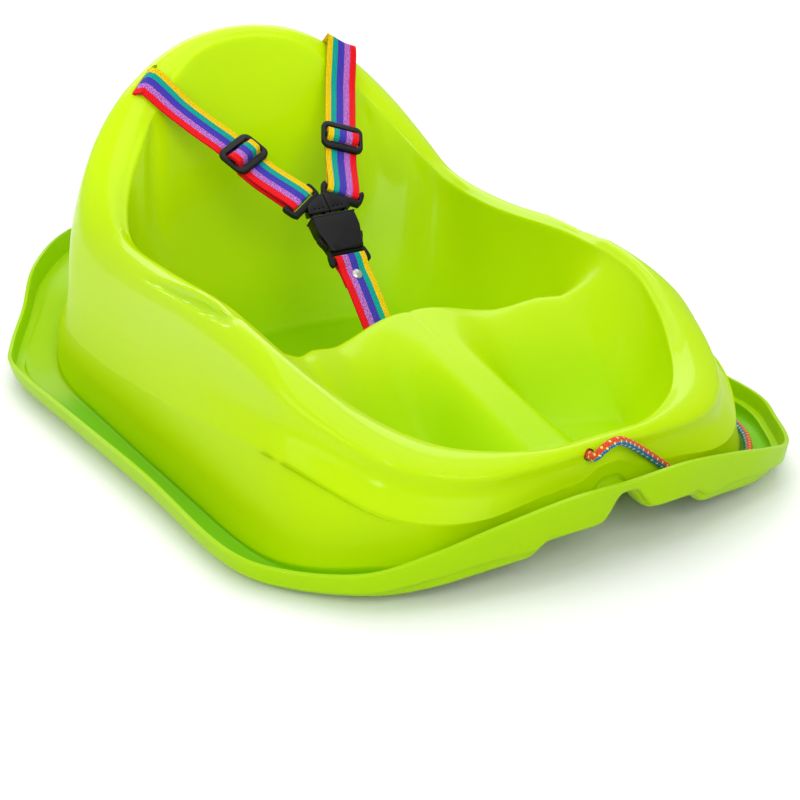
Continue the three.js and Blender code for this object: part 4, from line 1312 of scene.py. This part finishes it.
# places across the slot and up out of it: a rolled hem behind the keeper
shoulderHem = [
    (1.6, -14.6), (1.6, -10.6), (1.3, -10.0), (0.8, -9.8), (0.3, -10.0), (0, -10.6), (0, -14.4),
    (-0.3, -15.0), (-0.8, -15.2), (-1.3, -15.0), (-1.6, -14.4), (-1.4, -11.5), (0, -9.0), (0, -5.5),
    (0, -1.5),
]
crotchHem = [
    (0, -3), (0, -7.6), (-1.4, -10.0), (-1.6, -13.0), (-1.3, -13.6), (-0.8, -13.8), (-0.3, -13.6),
    (0, -13.0), (0, -9.8), (0.3, -9.2), (0.8, -9.0), (1.3, -9.2), (1.6, -9.8), (1.6, -13.4),
]

# half the width and height of a bar, and how tightly the webbing turns over and under it
loopBar = {"half": 1.8, "high": 2, "under": 1.0}
adjusterBar = {"half": 2.2, "high": 1.6, "over": 2.7, "under": 1.0}


def roundLoop(values=loopBar):
    # webbing over a loop's bar, round it and back
    half, high, radius = values["half"], values["high"], values["under"]
    bend = turn(-half, high, radius, 90, 180) + turn(-half, -high, radius, 180, 270)
    return [(half, high + radius), *bend, (half, -high - radius)]


def shoulderRows(seat):
    # rolled hem, keeper, slot, over the crest, straight behind the adjuster, round the latch bar and back
    found, over = shoulderPlace(), 2.3
    place, crest, crestFace = found["frame"], found["crest"], found["crestFace"]
    across, outward = (place.to_3x3() @ Vector(axis) for axis in ((1, 0, 0), (0, 1, 0)))
    step = 1 if outward.dot(crest - place.translation) > 0 else -1
    rows = rowsIn(place, [*shoulderHem, (step * 0.7, over), (step * 2.6, over)], -seat["slide"])
    top = crest + crestFace * ((over + seat["lift"]) * mm) - across * (seat["slide"] * mm)
    rows.append((top, Matrix.Rotation(math.radians(-seat["tilt"]), 3, crestFace.cross(across)) @ across))
    adjusterAt = adjusterFrame()
    behind = adjusterAt @ Vector((0, 0, (backLayer - 0.35) * mm))
    width = adjusterAt.to_3x3() @ Vector((1, 0, 0))
    upper, lower = halfFrame + slideReach[1], -halfFrame + slideReach[0]
    rows += [(behind + slideAxis * (far * mm), width) for far in (upper, upper - 25)]
    straight = [(along, backLayer) for along in (halfFrame, 4, -4, -halfFrame, lower)]
    rows += rowsIn(adjusterAt, [(halfFrame + 6, backLayer - 0.2), *straight])
    rows += rowsIn(buckleFrame @ latchBarFrame(), roundLoop())
    rows += rowsIn(adjusterAt, [(along, foldLayer) for along in (lower, -halfFrame, -6.5)], 0.9)
    return rows


def overBarRows(values=adjusterBar):
    # the stretch of webbing that climbs over the adjuster's bar
    half, high, radius = values["half"], values["high"], values["over"]
    climb = [(halfFrame - 0.3, backLayer + 0.12), (halfFrame - 5.2, backLayer + 0.3)]
    climb.append((half + radius + 0.7, 0.1))
    over = turn(half, high, radius, 12, 90) + turn(-half, high, radius, 90, 168)
    return rowsIn(adjusterFrame(), climb + over + [(-along, height) for along, height in reversed(climb)])


def sewnRows(values=adjusterBar):
    # the webbing's end, sewn back to itself round the same bar
    half, high, radius = values["half"], values["high"], values["under"]
    pairs = [(-9.5, foldLayer), (-4.2, foldLayer + 0.3), (-half, -high - radius)]
    pairs += turn(half, -high, radius, -90, 0) + turn(half, high, radius, 0, 90)
    pairs += turn(-half, high, radius, 90, 180)
    pairs += [(-half - radius, -0.8), (-7.2, tailLayer), (-18, tailLayer)]
    return rowsIn(adjusterFrame(), pairs)


def crotchRows(values=buckleValues):
    # doubled from the rivet to the socket's bar, and down through the seat to a rolled hem
    apart, clear = values["crotchApart"], values["rivet"] + values["rivetClear"]
    doubled = [(values["crotchEnd"], -apart), (clear, -apart)]
    around = [(values["socketBar"] - along, -height) for along, height in roundLoop()]
    rows = rowsIn(buckleFrame, doubled + around + [(along, apart) for along, _ in reversed(doubled)])
    place = crotchPlace()
    toBar = (rows[-1][0] - place.translation).normalized()
    rows.append((place.translation + toBar * 3 * mm, place.to_3x3() @ Vector((1, 0, 0))))
    return rows + rowsIn(place, crotchHem)


stitchValues = {
    # in millimetres, in the adjuster's frame
    "rows": (-15.8, -11.2),
    "rowSpots": (-9.6, -6.4, -3.2, 0, 3.2, 6.4, 9.6),
    "rowLong": 2.2,
    "sides": (-11.0, 11.0),
    "sideSpots": (-14.6, -12.4),
    "sideLong": 1.8,
    "drop": 0.75,
    "thick": 0.3,
}


def makeStitches(side, values):
    # a sewn box behind the adjuster, of short stitches that stand a little out of the webbing
    place = adjusterFrame()
    across, along, face = (place.to_3x3() @ Vector(axis) for axis in ((1, 0, 0), (0, 1, 0), (0, 0, 1)))
    spots = [(x, y, across, values["rowLong"]) for y in values["rows"] for x in values["rowSpots"]]
    spots += [(x, y, along, values["sideLong"]) for x in values["sides"] for y in values["sideSpots"]]
    bm = bmesh.new()
    for x, y, run, long in spots:
        made = bmesh.ops.create_uvsphere(bm, u_segments=8, v_segments=6, radius=1)
        spot = Matrix.Translation(place @ (Vector((x, y, foldLayer - values["drop"])) * mm))
        turned = Matrix((run, face.cross(run), face)).transposed().to_4x4()
        size = Vector((long / 2, values["thick"], values["thick"] * 0.8)) * mm
        bmesh.ops.transform(bm, matrix=spot @ turned @ Matrix.Diagonal((*size, 1)), verts=made["verts"])
    stitches = sided("StrapStitches", side, bm, sewingThread)
    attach(stitches, f"{side}_adjuster")


for side in ("left", "right"):
    strap = makeWeb("ShoulderStrap", shoulderRows(slotSeats[side]), side, webValues)
    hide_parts(f"{side}_shoulder_strap")
    nearAdjuster = adjusterFrame() @ Vector((0, -20 * mm, 0))
    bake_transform(strap)
    overBar = makeWeb("StrapOverBar", overBarRows(), side, webValues)
    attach(overBar, f"{side}_adjuster")
    sewnEnd = makeWeb("StrapSewnEnd", sewnRows(), side, webValues)
    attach(sewnEnd, f"{side}_adjuster")
    makeStitches(side, stitchValues)

crotch = makeWeb("crotchStrap", crotchRows(), None, webValues, flip=True)
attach(crotch, "root")
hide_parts("crotch_strap")
print("webbing made")


def plate(outline, holes, thick):
    # a flat outline with holes in it, drawn out to its thickness about its middle plane
    bm = bmesh.new()
    for loop in [outline, *holes]:
        verts = [bm.verts.new((x * mm, y * mm, -thick / 2 * mm)) for x, y in loop]
        for a, b in zip(verts, verts[1:] + verts[:1]):
            bm.edges.new((a, b))
    bmesh.ops.triangle_fill(bm, use_beauty=True, use_dissolve=True, edges=bm.edges[:], normal=(0, 0, 1))
    made = bmesh.ops.extrude_face_region(bm, geom=bm.faces[:])
    raised = [item for item in made["geom"] if isinstance(item, bmesh.types.BMVert)]
    bmesh.ops.translate(bm, verts=raised, vec=(0, 0, thick * mm))
    bmesh.ops.recalc_face_normals(bm, faces=bm.faces)
    return bm


def roundedBox(width, depth, radius, steps=5, x=0.0, y=0.0):
    # a rounded oblong outline, in millimetres
    corners = [(width / 2, depth / 2, 0), (-width / 2, depth / 2, 90), (-width / 2, -depth / 2, 180),
               (width / 2, -depth / 2, 270)]
    outline = []
    for cornerX, cornerY, start in corners:
        centreX = cornerX - math.copysign(radius, cornerX)
        centreY = cornerY - math.copysign(radius, cornerY)
        for i in range(steps + 1):
            angle = math.radians(start + 90 * i / steps)
            outline.append((x + centreX + radius * math.cos(angle), y + centreY + radius * math.sin(angle)))
    return outline


def bothSides(half):
    return half + [(-x, y) for x, y in reversed(half)]


def barBody(size, corner, place=(0, 0, 0)):
    # a bar with its long edges rounded
    bm = block(size, place)
    longWays = [edge for edge in bm.edges if abs(edge.verts[0].co.x - edge.verts[1].co.x) > mm / 2]
    bmesh.ops.bevel(bm, geom=longWays, offset=corner * mm, segments=4, affect="EDGES", profile=0.5,
                    material=-1)
    return bm


def cutterOf(bm):
    return addPiece("cutter", bm, blackPlastic, 0)


def softened(bm, edge, segments=4, cutters=()):
    # the same body with rounded edges and its openings cut
    part = addPiece("part", bm, blackPlastic)
    soften(part, edge * mm, segments)
    cutWith(part, cutters)
    made = bmesh.new()
    made.from_mesh(part.data)
    discard(part)
    return made


def addFitting(name, node, body, parts, place, side=None):
    # a fitting's parts become one mesh, put in its place, and the right side's is a mirror image
    whole = bmesh.new()
    for part in parts:
        spare = bpy.data.meshes.new("spare")
        part.to_mesh(spare)
        part.free()
        whole.from_mesh(spare)
        bpy.data.meshes.remove(spare)
    bmesh.ops.transform(whole, matrix=place, verts=whole.verts)
    if side == "right":
        mirrorBm(whole)
    mesh = bpy.data.meshes.new(name)
    whole.to_mesh(mesh)
    whole.free()
    mesh.materials.append(blackPlastic)
    mesh.set_sharp_from_angle(angle=math.radians(40))
    fitting = bpy.data.objects.new(name, mesh)
    bpy.context.collection.objects.link(fitting)
    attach(fitting, body)
    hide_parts(node)


# the fittings' values are in millimetres, in each fitting's own frame
adjusterValues = {
    "outline": (34, 27, 6.5, 8),
    "window": (27.2, 15.4, 3.0, 6),
    "thick": 4.2,
    "edge": 1.35,
    "bar": (29, 4.4, 3.0),
    "barCorner": 0.96,
    "grip": (20, 1.0, 1.4),
    "gripCorner": 0.3,
    "gripOut": 8.6,
}


def makeAdjuster(side, values):
    ring = plate(roundedBox(*values["outline"]), [roundedBox(*values["window"])], values["thick"])
    parts = [softened(ring, values["edge"], 5), barBody(values["bar"], values["barCorner"])]
    for y in (values["gripOut"], -values["gripOut"]):
        parts.append(barBody(values["grip"], values["gripCorner"], (0, y, values["thick"] / 2 - 0.3)))
    addFitting(f"{side}StrapAdjuster", f"{side}_strap_adjuster", f"{side}_adjuster", parts, adjusterFrame(),
               side)


loopValues = {
    "length": 27.0,
    "wall": 3.0,
    "depth": 3.6,
    "gap": 2.9,
    "corner": 1.2,
    "ears": 2.0,
    "thick": 4.8,
    "edge": 0.95,
}


def earedLoop(values):
    # the bar that webbing goes round, with an ear at each end that stands past it
    half, top = values["length"] / 2 + values["wall"], values["depth"] / 2
    bottom, tip = -values["depth"] * 2.75, top + values["ears"]
    outline = bothSides([
        (half - 2.2, bottom), (half - 0.3, bottom + 3.4), (half + 0.5, -2.4), (half + 0.9, top - 0.4),
        (half + 0.1, tip), (half - 1.7, tip + 0.5), (half - 2.9, top + 0.9), (half - 4.4, top),
    ])
    opening = roundedBox(values["length"], values["gap"], values["corner"], 4, 0, -top - values["gap"] / 2)
    return softened(plate(outline, [opening], values["thick"]), values["edge"])


latchValues = {
    "body": [(0.35, 17.6), (17.7, 17.6), (18.0, 18.4), (17.6, 21.5), (16.6, 24.2), (13.6, 26.6), (9.0, 29.6),
             (4.0, 31.8), (0.9, 33.6), (0.35, 32.8)],
    "bodyThick": 7.4,
    "bodyEdge": 0.9,
    "dimple": (1.3, 1.3, 0.3, 2),
    "dimples": [(4.4, 20.608), (8.0, 20.68), (11.6, 20.752)],
    "dimpleFloor": [(1.6, 18.6), (14.4, 18.6), (14.4, 23.0), (1.6, 23.0)],
    "floorThick": 5.2,
    "tongue": [(0.5, 18.4), (0.5, -12.4), (1.1, -13.0), (3.7, -13.0), (4.3, -12.4), (4.3, 18.4)],
    "tongueThick": 5.6,
    "tongueEdge": 0.5,
}


def makeLatch(side, values):
    dimples = [roundedBox(*values["dimple"], *place) for place in values["dimples"]]
    loop = earedLoop(loopValues)
    bmesh.ops.transform(loop, matrix=latchBarFrame(), verts=loop.verts)
    parts = [
        softened(plate(values["body"], dimples, values["bodyThick"]), values["bodyEdge"]),
        softened(plate(values["tongue"], [], values["tongueThick"]), values["tongueEdge"]),
        loop,
        plate(values["dimpleFloor"], [], values["floorThick"]),
    ]
    addFitting(f"{side}Latch", f"{side}_latch", f"{side}_latch", parts, buckleFrame, side)


armValues = {
    "outline": [(15.0, 17.4), (15.0, -1.6), (18.1, -2.3), (18.9, -3.6), (18.9, -5.4), (17.9, -8.4),
                (16.2, -11.0), (14.2, -12.4), (11.8, -12.5), (12.0, -10.0), (12.6, -5.0), (12.2, 17.4)],
    "thick": 5.3,
    "edge": 0.45,
    "rib": (1.0, 0.7, 5.0),
    "ribCorner": 0.25,
    "ribStart": (18.75, -4.4, 0),
    "ribEnd": (16.2, -10.9, 0),
    "ribTurns": (-18, -26, -34, -42),
}


def makeArm(side, values):
    # the springy arm whose ribbed tab shows in the socket's window
    parts = [softened(plate(values["outline"], [], values["thick"]), values["edge"], 3)]
    start, end = Vector(values["ribStart"]), Vector(values["ribEnd"])
    for i, degrees in enumerate(values["ribTurns"]):
        place = start.lerp(end, i / (len(values["ribTurns"]) - 1)) * mm
        rib = barBody(values["rib"], values["ribCorner"])
        lean = Matrix.Translation(place) @ Matrix.Rotation(math.radians(degrees), 4, "Z")
        bmesh.ops.transform(rib, matrix=lean, verts=rib.verts)
        parts.append(rib)
    addFitting(f"{side}LatchArm", f"{side}_latch_arm", f"{side}_latch_arm", parts, buckleFrame, side)


socketValues = {
    "half": [(18.3, 13.9), (18.5, 10), (18.4, 5), (18.2, 0.6), (17.2, -2.6), (16.0, -6.5), (15.0, -10.5),
             (14.4, -13.4), (14.0, -16.6), (12.6, -17.3)],
    "thick": 12,
    "edge": 2.6,
    "hollow": [(15.5, 30), (-15.5, 30), (-15.5, -1.8), (-11.4, -14), (11.4, -14), (15.5, -1.8)],
    "opening": 6.2,
    "window": (21, 11, 6.2),
    "windowPlace": (20, -7.3),
    "lip": (37.4, 1.6, 0.5, 3, 0, 13.1),
    "lipThick": 12.4,
    "lipEdge": 0.5,
    "mouth": (31, 6, 6.2),
    "mouthPlace": (0, 13, 0),
}


def makeSocket(values):
    x, y = values["windowPlace"]
    cutters = [cutterOf(plate(values["hollow"], [], values["opening"]))]
    cutters += [cutterOf(block(values["window"], place)) for place in ((x, y, 0), (-x, y, 0))]
    body = softened(plate(bothSides(values["half"]), [], values["thick"]), values["edge"], 6, cutters)
    mouth = cutterOf(block(values["mouth"], values["mouthPlace"]))
    lip = softened(plate(roundedBox(*values["lip"]), [], values["lipThick"]), values["lipEdge"], 3, [mouth])
    loop = earedLoop(loopValues)
    below = Matrix.Translation((0, buckleValues["socketBar"] * mm, 0)) @ Matrix.Rotation(math.pi, 4, "Z")
    bmesh.ops.transform(loop, matrix=below, verts=loop.verts)
    addFitting("buckleSocket", "buckle_socket", "root", [body, loop, lip], buckleFrame)


keeperValues = {
    "outline": (38, 10, 2.4, 4),
    "slot": (28, 3.2, 1.0, 3),
    "thick": 3,
    "edge": 0.6,
    "gap": 0.3,
    "shoulderSag": 2.4,
    "crotchSag": 1.4,
}


def makeKeeper(name, node, place, sag, values, side=None):
    bm = plate(roundedBox(*values["outline"]), [roundedBox(*values["slot"])], values["thick"])
    drop = shellValues["sheet"] + (values["gap"] + values["thick"] / 2 + sag) * mm
    behind = place @ Matrix.Translation((0, 0, -drop))
    addFitting(name, node, "root", [softened(bm, values["edge"], 3)], behind, side)


rivetProfile = [
    (0, 2.95), (1.1, 2.92), (2.2, 2.78), (3.0, 2.5), (3.7, 2.05), (4.0, 1.75), (3.9, 1.58), (3.4, 1.55),
    (1.6, 1.55),
]


def makeRivet():
    # turned once round for each head
    bm = bmesh.new()
    for flip in (1, -1):
        verts = [bm.verts.new((radius * mm, 0, height * flip * mm)) for radius, height in rivetProfile]
        edges = [bm.edges.new((a, b)) for a, b in zip(verts, verts[1:])]
        bmesh.ops.spin(bm, geom=verts + edges, cent=(0, 0, 0), axis=(0, 0, 1), angle=math.tau, steps=40,
                       use_merge=True)
    bmesh.ops.remove_doubles(bm, verts=bm.verts, dist=1e-6)
    edges = [edge for edge in bm.edges if edge.is_boundary]
    bmesh.ops.bridge_loops(bm, edges=edges)
    bmesh.ops.recalc_face_normals(bm, faces=bm.faces)
    place = buckleFrame @ Matrix.Translation((0, buckleValues["rivet"] * mm, 0))
    bmesh.ops.transform(bm, matrix=place, verts=bm.verts)
    rivet = addPiece("crotchRivet", bm, platedSteel, 45)
    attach(rivet, "root")
    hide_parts("crotch_rivet")


for side in ("left", "right"):
    makeAdjuster(side, adjusterValues)
    makeLatch(side, latchValues)
    makeArm(side, armValues)
    makeKeeper(f"{side}StrapKeeper", f"{side}_strap_keeper", shoulderPlace()["frame"],
               keeperValues["shoulderSag"], keeperValues, side)
makeKeeper("crotchKeeper", "crotch_keeper", crotchPlace(), keeperValues["crotchSag"], keeperValues)
makeSocket(socketValues)
makeRivet()
print("fittings made")


lightValues = [
    # name, place, target, size across and up, power
    ("topSoftbox", (0.1, -0.1, 2.7), (0, 0, 0.1), 3.0, 2.4, 28),
    ("frontSoftbox", (-0.9, -2.5, 1.7), (0, 0, 0.1), 2.2, 1.4, 38),
    ("leftFill", (-2.6, 0.2, 1.4), (0, 0, 0.1), 1.6, 1.2, 10),
    ("backSoftbox", (0.9, 3.1, 2.4), (0.5, 2.6, 0), 4.5, 2.5, 100),
    ("sideStrip", (-1.256, -0.713, 0.76), (-0.136, -0.263, 0.05), 0.05, 0.5, 2.2),
]


def makeLight(name, place, target, across, up, power):
    data = bpy.data.lights.new(name, "AREA")
    data.shape = "RECTANGLE"
    data.size, data.size_y = across, up
    data.energy = power
    light = bpy.data.objects.new(name, data)
    light.location = place
    light.rotation_mode = "QUATERNION"
    light.rotation_quaternion = (Vector(place) - Vector(target)).to_track_quat("Z", "Y")
    bpy.context.collection.objects.link(light)


for values in lightValues:
    makeLight(*values)

studioValues = {"sky": (1, 1, 1, 1), "brightness": 0.5, "floorReach": 6, "floorFaces": 8}
world = bpy.data.worlds.new("paleStudio")
world.use_nodes = True
background = world.node_tree.nodes["Background"]
background.inputs["Color"].default_value = studioValues["sky"]
background.inputs["Strength"].default_value = studioValues["brightness"]
bpy.context.scene.world = world
bpy.context.scene.view_settings.view_transform = "Standard"

floorBm = bmesh.new()
faces = studioValues["floorFaces"]
bmesh.ops.create_grid(floorBm, x_segments=faces, y_segments=faces, size=studioValues["floorReach"])
floor = addPiece("studioFloor", floorBm, makeFloorFinish(), 0)
print("floor and light made")
